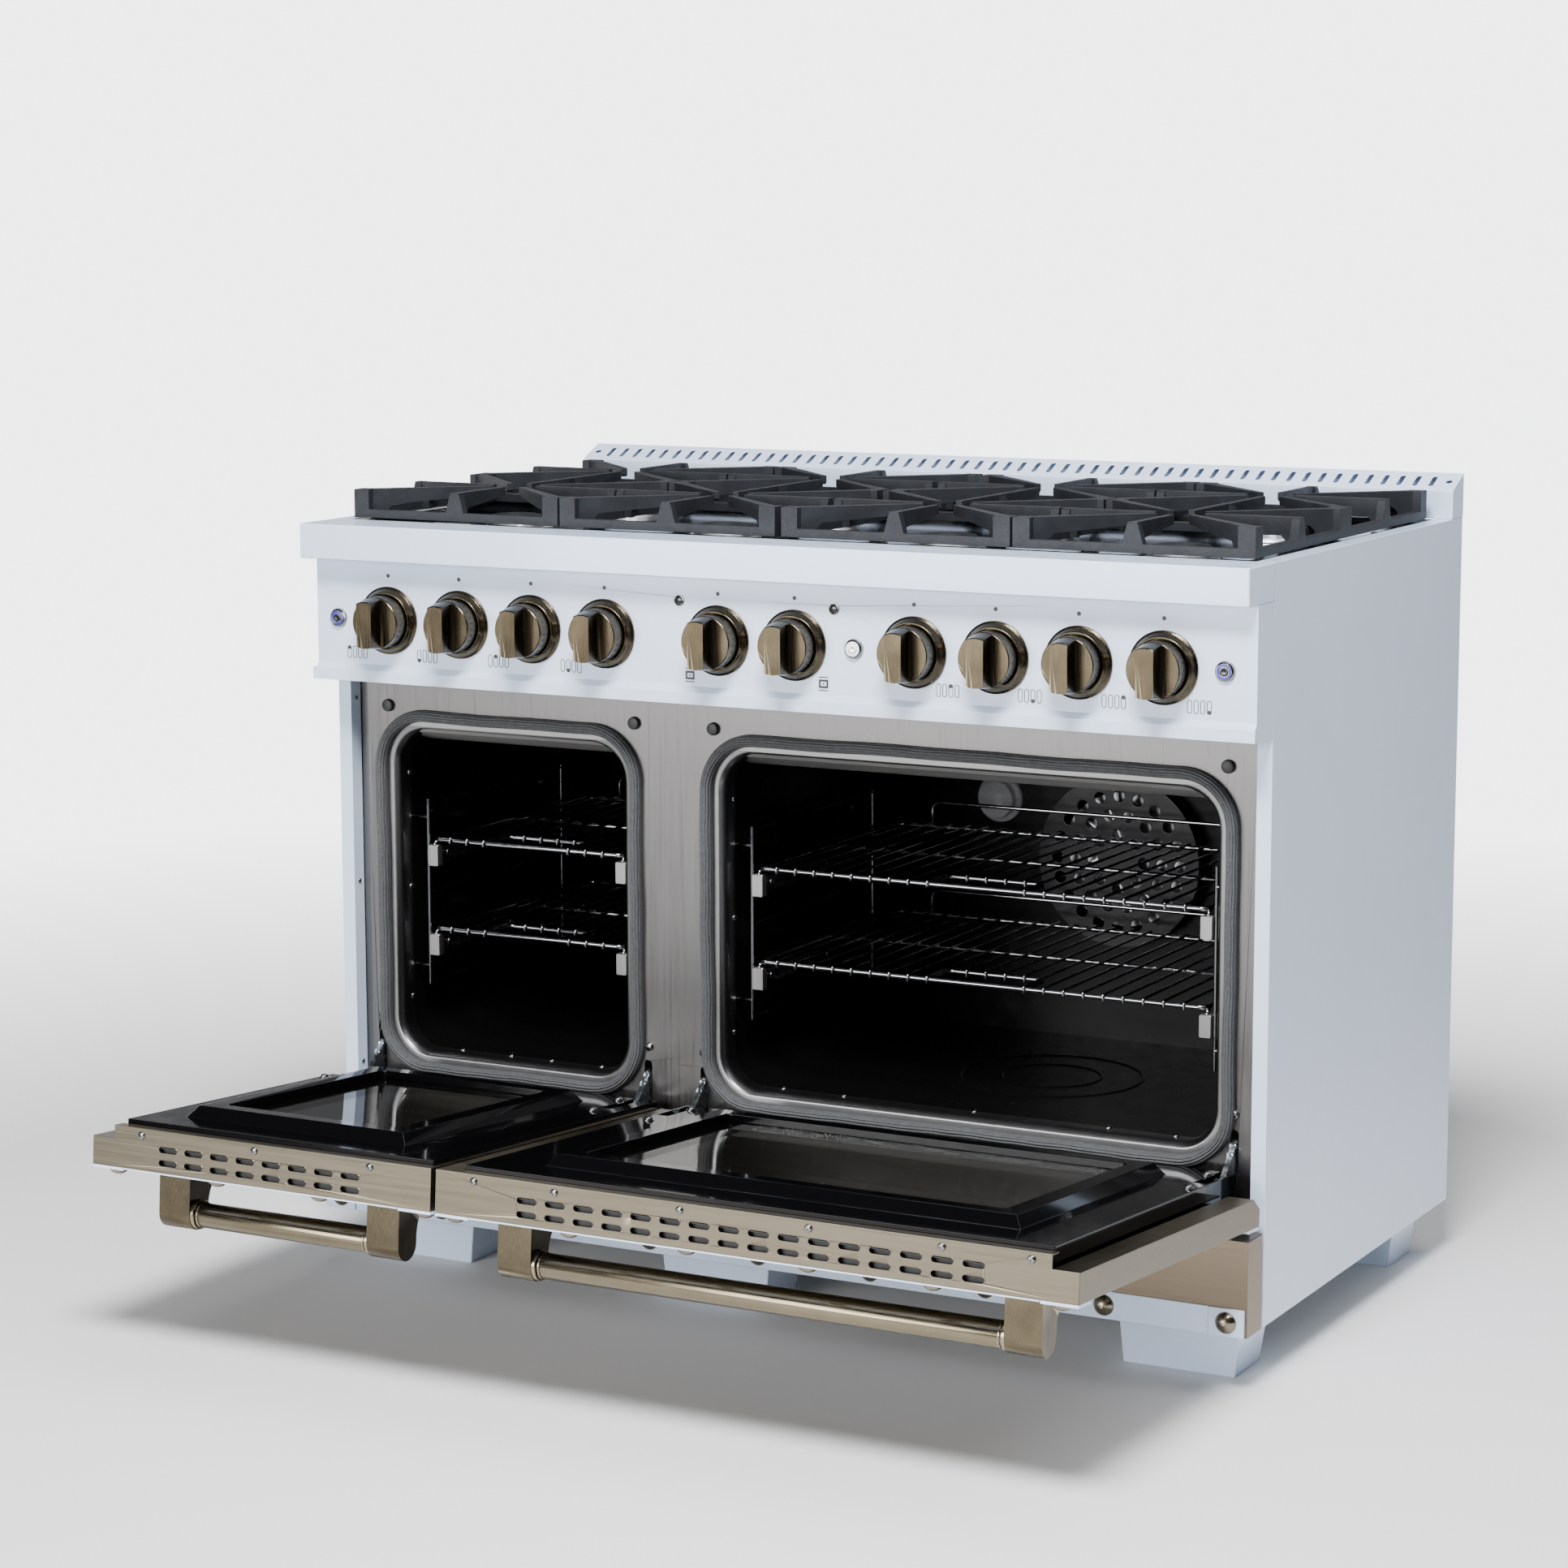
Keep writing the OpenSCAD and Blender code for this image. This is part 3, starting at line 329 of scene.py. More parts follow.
def dull_zinc(name):
    """Galvanised sheet with a soft spangle."""
    m, nt, s = material(name)
    at = object_coords(nt)
    cells = node(nt, "ShaderNodeTexVoronoi")
    cells.inputs["Scale"].default_value = 110
    nt.links.new(at, cells.inputs["Vector"])
    spangle = spread(nt, cells.outputs["Color"], 0, 1, (0.1, 0.9))
    nt.links.new(colour_mix(nt, spangle, (0.50, 0.52, 0.54), (0.66, 0.68, 0.70)), s.inputs["Base Color"])
    s.inputs["Metallic"].default_value = 1.0
    roughen(nt, s, noise(nt, at, 70, 3), 0.32, 0.5)
    return m


def braid(name):
    """Woven glass-fibre rope."""
    m, nt, s = material(name)
    at = object_coords(nt)
    weave = noise(nt, at, 1400, 2)
    soft = noise(nt, at, 120, 3)
    strands = colour_mix(nt, spread(nt, weave, 0, 1), (0.007, 0.0075, 0.008), (0.115, 0.119, 0.126))
    nt.links.new(strands, s.inputs["Base Color"])
    roughen(nt, s, soft, 0.55, 0.8)
    bump(nt, s, weave, 0.6, 0.0008)
    return m


def tinted_glass(name, colour, alpha, roughness=0.02):
    """Glass that lets the share 1 - alpha of what is behind it show."""
    m, nt, s = material(name)
    at = object_coords(nt)
    tint(nt, s, spread(nt, noise(nt, at, 3, 2), 0, 1), colour)
    roughen(nt, s, noise(nt, at, 24, 2), roughness, roughness * 2)
    s.inputs["Alpha"].default_value = alpha
    s.inputs["Coat Weight"].default_value = 1.0
    s.inputs["Coat Roughness"].default_value = 0.02
    return m


def plain(name, colour, roughness, grain=300):
    """Rubber, plastic or printed ink with a fine tooth."""
    m, nt, s = material(name)
    at = object_coords(nt)
    tooth = noise(nt, at, grain, 2)
    tint(nt, s, spread(nt, tooth, 0, 1), colour)
    roughen(nt, s, tooth, roughness * 0.9, roughness * 1.1)
    bump(nt, s, tooth, 0.1, 0.0001)
    return m


def glow(name, colour, strength):
    """A lit plastic ring."""
    m, nt, s = material(name)
    at = object_coords(nt)
    mottle = spread(nt, noise(nt, at, 300, 2), 0, 1)
    nt.links.new(colour_mix(nt, mottle, [c * 0.2 for c in colour], [c * 0.25 for c in colour]),
                 s.inputs["Base Color"])
    s.inputs["Emission Color"].default_value = (*colour, 1)
    s.inputs["Emission Strength"].default_value = strength
    s.inputs["Roughness"].default_value = 0.25
    return m


make_camera()
make_studio()

WHITE = enamel("white_enamel", (0.64, 0.745, 0.93), 0.22, 0.04, 0.35)
BLACK = enamel("black_enamel", (0.002, 0.002, 0.0024), 0.08, 0.0, 0.0, 0.22)
CAVITY = enamel("cavity_enamel", (0.003, 0.003, 0.003), 0.24, 0.0, 0.0, 0.12)
DARK = enamel("dark_enamel", (0.008, 0.008, 0.009), 0.22, 0.02, 0.0, 0.3)
CHAMPAGNE = brushed("champagne_steel", (0.185, 0.161, 0.119), 0, 0.34, 0.3, tone=0.9)
CHAMPAGNE_SIDE = brushed("kick_steel", (0.22, 0.175, 0.128), 0, 0.34, 0.3)
FRAME_STEEL = brushed("frame_steel", (0.175, 0.171, 0.168), 2, 0.33, 0.1, tone=0.97)
IRON = cast_iron("cast_iron")
BRASS = antique_brass("antique_brass")
BRASS_LONG = antique_brass("antique_brass_long", 0)
STUD = brushed("stud_brass", (0.24, 0.208, 0.158), 2, 0.27, 0.1)
CHROME = polished("chrome_wire", (0.36, 0.365, 0.38), 0.14)
LADDER = polished("ladder_wire", (0.20, 0.205, 0.215), 0.16)
SCREW = polished("screw_steel", (0.24, 0.24, 0.245), 0.22)
BUTTON = brushed("button_steel", (0.66, 0.66, 0.66), 0, 0.28, 0.2)
HINGE = polished("hinge_zinc", (0.60, 0.66, 0.70), 0.2)
ZINC = dull_zinc("zinc_steel")
VALVE = polished("valve_brass", (0.72, 0.56, 0.28), 0.3)
ALUMINIUM = brushed("burner_aluminium", (0.62, 0.62, 0.63), 0, 0.4, 0.3)
GASKET = braid("gasket_braid")
GLASS = tinted_glass("door_glass", (0.006, 0.006, 0.006), 0.30)
LAMP = tinted_glass("lamp_glass", (0.55, 0.56, 0.58), 0.35, 0.08)
LIP = polished("mouth_lip", (0.20, 0.20, 0.205), 0.30, 0.1)
FRAME_ALONG = brushed("frame_steel_along", (0.30, 0.295, 0.29), 0, 0.42, 0.2, metallic=0.55)
WELL = brushed("well_steel", (0.17, 0.165, 0.15), 0, 0.38, 0.2)
CAP = brushed("cap_steel", (0.33, 0.325, 0.32), 2, 0.36, 0.2)
SLIDE = polished("slide_steel", (0.12, 0.12, 0.125), 0.3)
CHROME_SOFT = polished("chrome_ring", (0.26, 0.265, 0.26), 0.12)
BUTTON_DARK = brushed("button_dark", (0.05, 0.05, 0.05), 0, 0.25, 0.2)
LENS = plain("indicator_lens", (0.02, 0.02, 0.022), 0.12)
# dark rubber for the door bumpers; the same colour is the painted shade sheet behind the door's air slots
RUBBER_AND_SLOT_SHADE = plain("bumper_rubber_and_slot_shade", (0.018, 0.018, 0.018), 0.55)
INK = plain("panel_ink", (0.018, 0.02, 0.025), 0.5)
BLUE = glow("light_ring", (0.012, 0.012, 0.60), 0.8)


# ---------------------------------------------------------------- finish of the CAD nodes

def dress(name, mat, edge=0.0008, segments=2, angle=35):
    """Gives a CAD node its material and softens its edges."""
    ob = nodes[name]
    ob.data.materials.clear()
    ob.data.materials.append(mat)
    if edge:
        w = ob.modifiers.new("weld", "WELD")
        w.merge_threshold = 0.000005
        b = ob.modifiers.new("soft_edges", "BEVEL")
        b.width = edge
        b.segments = segments
        b.limit_method = "ANGLE"
        b.angle_limit = math.radians(angle)
        b.harden_normals = True
        b.use_clamp_overlap = True


for n in ("side_panel_left", "side_panel_right", "backguard", "control_panel"):
    dress(n, WHITE, 0.0009)
dress("front_rail", WHITE, 0.0035, 4)
dress("base_rail", WHITE, 0.0012, 3)
dress("feet", WHITE, 0.0015, 3)
for side in ("left", "right"):
    dress("door_trim_" + side, WHITE, 0.0008)
    dress("door_skin_" + side, CHAMPAGNE, 0.0007)
    dress("door_liner_" + side, BLACK, 0.0022, 3)
    dress("door_glass_" + side, GLASS, 0.0006)
    dress("door_studs_" + side, STUD, 0.0008)
    dress("handle_bar_" + side, BRASS_LONG, 0.0006)
    dress("handle_posts_" + side, BRASS, 0.0016, 3)
    dress("oven_liner_" + side, CAVITY, 0.0)
    for level, _ in RACK_LEVELS:
        dress("rack_%s_%s" % (side, level), CHROME, 0.0)
dress("kick_panel", CHAMPAGNE_SIDE, 0.0008)
dress("base_studs", STUD, 0.0008)
dress("knob_bezels", BRASS, 0.0005)
for i in range(len(KNOB_X)):
    dress("knob_%d" % (i + 1), BRASS, 0.0009, 3)
dress("front_frame", FRAME_STEEL, 0.0006)
dress("oven_gaskets", GASKET, 0.004, 4)
dress("cooktop", BLACK, 0.001)
for i in range(1, 5):
    dress("grate_%d" % i, IRON, 0.0016, 3, 30)
dress("burner_bases", ALUMINIUM, 0.0006)
dress("burner_caps", IRON, 0.001)
dress("rack_supports", LADDER, 0.0)
dress("fan_cover", DARK, 0.001)
dress("convection_fan", ALUMINIUM, 0.0)
dress("oven_lamps", LAMP, 0.0)
dress("hinge_arms", HINGE, 0.0008)
dress("gas_manifold", VALVE, 0.0005)
dress("back_panel", ZINC, 0.0004)
dress("base_frame", ZINC, 0.0004)
for n in BUTTON_X:
    dress(n, BUTTON, 0.0006)


# ---------------------------------------------------------------- mesh tools, in millimetres

def vec(*p):
    """A short name for Vector."""
    return Vector(p)


def loft(bm, rings, loop=False, caps=True):
    """Skins a row of closed rings that have the same number of points."""
    rows = [[bm.verts.new(p) for p in ring] for ring in rings]
    count = len(rows[0])
    following = rows[1:] + ([rows[0]] if loop else [])
    for a, b in zip(rows, following):
        for i in range(count):
            j = (i + 1) % count
            bm.faces.new((a[i], a[j], b[j], b[i]))
    if caps and not loop:
        bm.faces.new(rows[0][::-1])
        bm.faces.new(rows[-1])


def across(axis):
    """Two unit vectors at right angles to axis."""
    axis = axis.normalized()
    guide = vec(0, 0, 1) if abs(axis.z) < 0.9 else vec(1, 0, 0)
    u = guide.cross(axis).normalized()
    return u, axis.cross(u)


def lathe(bm, at, axis, profile, segments=24):
    """Turns (radius, height) pairs about an axis."""
    axis = axis.normalized()
    u, v = across(axis)
    turns = [2 * math.pi * k / segments for k in range(segments)]
    loft(bm, [[at + axis * h + (u * math.cos(t) + v * math.sin(t)) * r for t in turns] for r, h in profile])


def ring_of(bm, at, axis, radius, section, segments=40):
    """A closed ring: section holds (radial offset, height) pairs that go all the way round."""
    axis = axis.normalized()
    u, v = across(axis)
    rings = []
    for k in range(segments):
        t = 2 * math.pi * k / segments
        out = u * math.cos(t) + v * math.sin(t)
        rings.append([at + out * (radius + a) + axis * h for a, h in section])
    loft(bm, rings, loop=True)


def rounded_path(points, radius, steps=6):
    """A polyline with its corners rounded."""
    path = [points[0]]
    for before, here, after in zip(points, points[1:], points[2:]):
        a, b = (before - here).normalized(), (after - here).normalized()
        half = a.angle(b) / 2
        reach = min(radius / math.tan(half), (before - here).length / 2, (after - here).length / 2)
        r = reach * math.tan(half)
        middle = (a + b).normalized()
        centre = here + middle * (r / math.sin(half))
        p, q = here + a * reach, here + b * reach
        for k in range(steps + 1):
            t = k / steps
            direction = ((p - centre) * (1 - t) + (q - centre) * t).normalized()
            path.append(centre + direction * r)
    path.append(points[-1])
    return path


def tube(bm, path, radius, segments=10, dome=True):
    """A round wire along a path, with softly domed ends."""
    tangents = []
    for i in range(len(path)):
        a, b = path[max(i - 1, 0)], path[min(i + 1, len(path) - 1)]
        tangents.append((b - a).normalized())
    u, _ = across(tangents[0])
    stations = []
    if dome:
        stations += [(path[0] - tangents[0] * radius * 0.5, tangents[0], 0.5)]
    stations += [(p, t, 1.0) for p, t in zip(path, tangents)]
    if dome:
        stations += [(path[-1] + tangents[-1] * radius * 0.5, tangents[-1], 0.5)]
    rings = []
    for p, t, share in stations:
        u = (u - t * u.dot(t)).normalized()
        w = t.cross(u)
        rings.append([p + (u * math.cos(a) + w * math.sin(a)) * radius * share
                      for a in (2 * math.pi * k / segments for k in range(segments))])
    loft(bm, rings)


def slab(bm, outline, thick, soft=0.0):
    """A plate: outline is its top face, thick the vector down to the lower one; soft bevels the top edge."""
    middle = sum(outline, vec(0, 0, 0)) / len(outline)
    rings = [[p + thick for p in outline]]
    if soft:
        rings.append([p + thick.normalized() * soft for p in outline])
        rings.append([p + (middle - p).normalized() * soft for p in outline])
    else:
        rings.append(outline)
    loft(bm, rings)


def pill(at, u, v, length, width, steps=8):
    """Points of a slot outline about at, long along u."""
    r = width / 2
    d = length / 2 - r
    points = []
    for side in (1, -1):
        for k in range(steps + 1):
            t = math.pi * (k / steps - 0.5)
            points.append(at + (u * (d + r * math.cos(t)) + v * r * math.sin(t)) * side)
    return points


def screw(bm, at, axis, radius):
    """A Phillips pan head."""
    axis = axis.normalized()
    u, v = across(axis)
    arm, narrow = 0.52, 0.13
    corner = math.atan2(narrow, arm)
    quarter = (0, corner, 0.5, math.pi / 4, math.pi / 2 - 0.5, math.pi / 2 - corner)
    angles = [math.pi / 2 * q + a for q in range(4) for a in quarter]

    def circle(share, height):
        return [at + (u * math.cos(t) + v * math.sin(t)) * radius * share + axis * height * radius
                for t in angles]

    def cross(height, scale):
        ring = []
        for t in angles:
            c, s = abs(math.cos(t)), abs(math.sin(t))
            reach = min(arm / max(c, s), narrow / max(min(c, s), 1e-6))
            out = u * math.cos(t) + v * math.sin(t)
            ring.append(at + out * radius * reach * scale + axis * height * radius)
        return ring

    loft(bm, [circle(0.97, 0), circle(1.0, 0.12), circle(0.98, 0.34), circle(0.86, 0.52), circle(0.66, 0.62),
              cross(0.66, 1.0), cross(0.3, 0.8)])


def piece(bm, name, mat, body, angle=38):
    """Turns a mesh in millimetres into a named piece that rides on a body; edges over angle stay sharp."""
    bmesh.ops.recalc_face_normals(bm, faces=bm.faces)
    for f in bm.faces:
        f.smooth = True
    limit = math.radians(angle)
    for e in bm.edges:
        e.smooth = len(e.link_faces) == 2 and e.calc_face_angle(3.0) < limit
    mesh = bpy.data.meshes.new(name)
    bm.to_mesh(mesh)
    bm.free()
    mesh.transform(Matrix.Scale(MM, 4))
    mesh.materials.append(mat)
    ob = bpy.data.objects.new(name, mesh)
    bpy.context.scene.collection.objects.link(ob)
    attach(ob, body)
    return ob


def mouth_path(k, grow, y, pace=9.0, bend=14):
    """Points round an oven's mouth, each with its outward direction and the distance along the line."""
    xc, w = OVENS[k]
    r = MOUTH_R + grow
    zc = (MOUTH_LOW + MOUTH_HIGH) / 2
    dx, dz = w / 2 - MOUTH_R, (MOUTH_HIGH - MOUTH_LOW) / 2 - MOUTH_R
    corners = ((dx, dz, 0), (-dx, dz, 90), (-dx, -dz, 180), (dx, -dz, 270))
    found = []
    for i, (cx, cz, start) in enumerate(corners):
        for j in range(bend + 1):
            t = math.radians(start + 90 * j / bend)
            out = vec(math.cos(t), 0, math.sin(t))
            found.append((vec(xc + cx, y, zc + cz) + out * r, out))
        nx, nz, _ = corners[(i + 1) % 4]
        a = found[-1][0]
        b = vec(xc + nx, y, zc + nz) + out * r
        steps = max(int((b - a).length / pace), 1)
        found += [(a.lerp(b, s / steps), out) for s in range(1, steps)]
    travelled = 0.0
    rows = []
    for i, (p, out) in enumerate(found):
        if i:
            travelled += (p - found[i - 1][0]).length
        rows.append((p, out, travelled))
    return rows


# ---------------------------------------------------------------- oven mouths

def gasket_ropes():
    """Braided ropes round both mouths: lengthwise strands, slightly uneven, with a joint at the bottom."""
    bm = bmesh.new()
    half, height, strands, points = 7.2, 13.4, 6, 60
    for k in (0, 1):
        rings = []
        rows = mouth_path(k, 14.8, FRAME_Y - 0.05, 4.5, 22)
        joint = OVENS[k][0] + (5 if k == 0 else -62)
        for p, out, s in rows:
            lift = 1 + 0.022 * math.sin(s / 41) + 0.016 * math.sin(s / 17.3 + k) + 0.01 * math.sin(s / 6.1)
            sway = 0.5 * math.sin(s / 63 + 1) + 0.35 * math.sin(s / 23)
            if p.z < MOUTH_LOW and abs(p.x - joint) < 7:
                lift *= 0.90
            ring = []
            for j in range(points + 1):
                t = math.pi * j / points
                rib = 1.9 * abs(math.sin(strands * t + 0.25 * math.sin(s / 9))) ** 0.55 - 1.9
                a = -half * math.cos(t) * (1 + rib * 0.03)
                h = (height * math.sin(t) ** 0.55 + rib) * lift if 0 < j < points else 0.0
                ring.append(p + out * (a + sway) + FORWARD * max(h, 0.0))
            rings.append(ring)
        loft(bm, rings, loop=True)
    ob = piece(bm, "gasket_ropes", GASKET, BODY, 75)
    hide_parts("oven_gaskets")


def mouth_lips():
    """The bright rolled edge between each gasket and its enamelled cavity."""
    bm = bmesh.new()
    section = ((9, 0.25), (2.2, 0.35), (0.7, 0.1), (-0.5, -0.7), (-1.6, -2.2), (-3.0, -4.4), (-4.2, -6.8),
               (-5.0, -9.6), (-5.4, -13), (-5.5, -26), (-5.2, -28.4), (-4.0, -29.4), (-0.35, -29),
               (-0.35, -4), (0.2, -2), (2, -0.6), (9, -0.7))
    for k in (0, 1):
        loft(bm, [[p + out * a + FORWARD * h for a, h in section]
                  for p, out, _ in mouth_path(k, 0.0, FRAME_Y, 40, 18)], loop=True)
    piece(bm, "mouth_lips", LIP, BODY, 60)


def mouth_plates():
    """The sloped plate under the top edge of each mouth."""
    bm = bmesh.new()
    depth, fall, first, steps = 60.0, 22.0, 5.9, 12
    front = FRAME_Y - 0.75
    for k in (0, 1):
        xc, w = OVENS[k]
        top = w / 2 - MOUTH_R * 0.55
        rings = [[vec(xc - top, front, z), vec(xc + top, front, z),
                  vec(xc + top, front + 0.2, z + 0.1), vec(xc - top, front + 0.2, z + 0.1)]
                 for z in (MOUTH_HIGH + 8.5, MOUTH_HIGH + 1.5)]
        for i in range(steps + 1):
            d = first + (fall - first) * i / steps
            inset = MOUTH_R - math.sqrt(MOUTH_R ** 2 - (MOUTH_R - d) ** 2) + 1.4
            y = FRAME_Y + 6 + (depth - 6) * i / steps
            z = MOUTH_HIGH - d
            x0, x1 = xc - w / 2 + inset, xc + w / 2 - inset
            rings.append([vec(x0, y, z), vec(x1, y, z), vec(x1, y + 0.4, z + 1), vec(x0, y + 0.4, z + 1)])
        low = rings[-1]
        rings.append([p + vec(0, 3.2, 0.6) for p in low])
        rings.append([p + vec(0, 3.2, 9) for p in low[:2]] + [p + vec(0, 2.2, 8) for p in low[2:]])
        loft(bm, rings)
    piece(bm, "mouth_plates", FRAME_ALONG, BODY, 25)


def mouth_screws():
    """Pan heads on the floor, the roof and the sides of both mouths."""
    bm = bmesh.new()
    floor_x = ((-465.1, -394.8, -336.9, -266.2), (-16.5, 63.7, 232.0, 400.0, 482.2))
    roof_x = ((-470, -300), (-27.6, 99.8, 488.1))
    y = FRAME_Y + 27
    for k in (0, 1):
        xc, w = OVENS[k]
        for x in floor_x[k]:
            screw(bm, vec(x, y - 2, MOUTH_LOW + 5.3), vec(0, -0.25, 1), 3.9)
        for x in roof_x[k]:
            screw(bm, vec(x, FRAME_Y + 12, MOUTH_HIGH - 5.2), vec(0, -0.3, -1), 3.6)
        for z in (600, 458, 320):
            for s in (-1, 1):
                screw(bm, vec(xc + s * (w / 2 - 5.3), y - 2, z), vec(-s, -0.25, 0), 3.9)
    piece(bm, "mouth_screws", SCREW, BODY)


def frame_screws():
    """Pan heads above the hinge slots, and small ones in the front returns."""
    bm = bmesh.new()
    for x in (-567, -185, -110, 562):
        screw(bm, vec(x, FRAME_Y - 0.1, 297), FORWARD, 5.4)
    for s in (-1, 1):
        for z in (694, 467, 240):
            screw(bm, vec(s * 589.6, -49.5, z), vec(-s, 0, 0), 2.6)
    piece(bm, "frame_screws", SCREW, BODY)


def bumpers():
    """Rubber buttons on the frame that the doors close against."""
    bm = bmesh.new()
    profile = ((7.6, 0), (7.8, 1), (7.6, 4), (6.9, 5.5), (5.4, 6.2))
    for x in (-549, -201.6, -94.6, 549):
        lathe(bm, vec(x, FRAME_Y - 0.05, 686), FORWARD, profile, 28)
    piece(bm, "door_bumpers", RUBBER_AND_SLOT_SHADE, BODY)


# ---------------------------------------------------------------- control panel

def panel_prints():
    """Printed marks: a dot over each knob, burner icons, and a plain oven sign."""
    bm = bmesh.new()
    proud = 0.14
    y = PANEL_Y - proud
    back = vec(0, proud + 0.02, 0)
    dot_z, icon_z, sign_z = 853, 759, 757.5

    def box_of(x, z, half_x, half_z):
        return [vec(x + a * half_x, y, z + b * half_z) for a, b in ((-1, -1), (1, -1), (1, 1), (-1, 1))]

    def outline(outer, inner):
        loft(bm, [[a, b, b + back, a + back] for a, b in zip(outer, inner)], loop=True)

    for x in KNOB_X:
        slab(bm, pill(vec(x, y, dot_z), RIGHT, UP, 5.0, 5.0, 8), back)

    width, height, line, pitch = 5.8, 15.4, 0.9, 7.6
    burners = [x for x in KNOB_X if abs(x) > OVEN_KNOB_REACH]
    for burner, x in enumerate(burners):
        shift = -46 if x < 0 else 42
        for pillar in range(4):
            at = vec(x + shift + (pillar - 1.5) * pitch, y, icon_z)
            outline(pill(at, UP, RIGHT, height, width),
                    pill(at, UP, RIGHT, height - 2 * line, width - 2 * line))
            if pillar == burner // 2:
                place = at + UP * (5.0 if burner % 2 == 0 else -5.0) + FORWARD * 0.04
                slab(bm, pill(place, RIGHT, UP, 4.2, 4.2), back)
    for x in (-86.5, 86.5):
        for z in (765, 750):
            slab(bm, box_of(x, z, 6, 0.6), back)
        outline(box_of(x, sign_z, 6, 5), box_of(x, sign_z, 3.6, 2.4))
        slab(bm, pill(vec(x, y, sign_z), RIGHT, UP, 2.2, 2.2), back)
    piece(bm, "panel_prints", INK, BODY, 20)


def button_rings():
    """Chrome rings round the push buttons, and the two oven indicator lamps."""
    bm = bmesh.new()
    y = PANEL_Y - 0.05
    section = ((0, -0.05), (0, 2.4), (-0.7, 3.7), (-1.6, 4.0), (-2.3, 3.4), (-2.5, -0.05))
    for x in BUTTON_X.values():
        ring_of(bm, vec(x, y, CONTROL_Z), FORWARD, 11.4, section)
    lamp = tuple((a * 0.6, h * 0.4) for a, h in section)
    for x in INDICATOR_X:
        ring_of(bm, vec(x, y, INDICATOR_Z), FORWARD, 6.4, lamp)
    piece(bm, "button_rings", CHROME_SOFT, BODY)
    bm = bmesh.new()
    for x in INDICATOR_X:
        lathe(bm, vec(x, y, INDICATOR_Z), FORWARD, ((4.9, 0), (4.9, 0.7), (3.6, 1.3), (1.6, 1.6)), 28)
    piece(bm, "oven_indicators", LENS, BODY)


def button_faces():
    """A lit ring set in the face of each lamp button, and a dished steel face on the fan button."""
    for name, x in BUTTON_X.items():
        lit = name != "button_fan"
        low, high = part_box(name)
        y = low.y * 1000
        z = (low.z + high.z) * 500
        face = vec(x, y - 0.02, z)
        if lit:
            bm = bmesh.new()
            ring_of(bm, face, FORWARD, 7.1, ((-1.5, -0.2), (-1.3, 0.35), (0, 0.7), (1.1, 0.4), (1.35, -0.2)))
            piece(bm, name + "_glow", BLUE, name)
        bm = bmesh.new()
        lathe(bm, face, FORWARD, ((5.3, -0.2), (5.3, 0.25), (4.7, 0.45), (2.6, 0.2), (0.8, 0.08)), 28)
        piece(bm, name + "_face", BUTTON_DARK if lit else BUTTON, name)


def knob_marks():
    """Fine ticks round the side of each knob, smaller towards the top."""
    for i, x in enumerate(KNOB_X):
        bm = bmesh.new()
        for j in range(9):
            t = math.radians(-58 + 13.5 * j)
            out = vec(math.cos(t), 0, math.sin(t))
            along = vec(-math.sin(t), 0, math.cos(t))
            size = 0.55 + 0.14 * (8 - j)
            at = vec(x, PANEL_Y - 21.5, CONTROL_Z) + out * KNOB_R
            half = 2.6 if j % 2 == 0 else 1.7
            outline = [at + along * (a * size) + vec(0, b, 0)
                       for a, b in ((-1, -half), (1, -half), (1, half), (-1, half))]
            slab(bm, [p + out * 0.14 for p in outline], -out * 0.4)
        piece(bm, "knob_%d_marks" % (i + 1), INK, "knob_%d" % (i + 1), 20)


# ---------------------------------------------------------------- racks

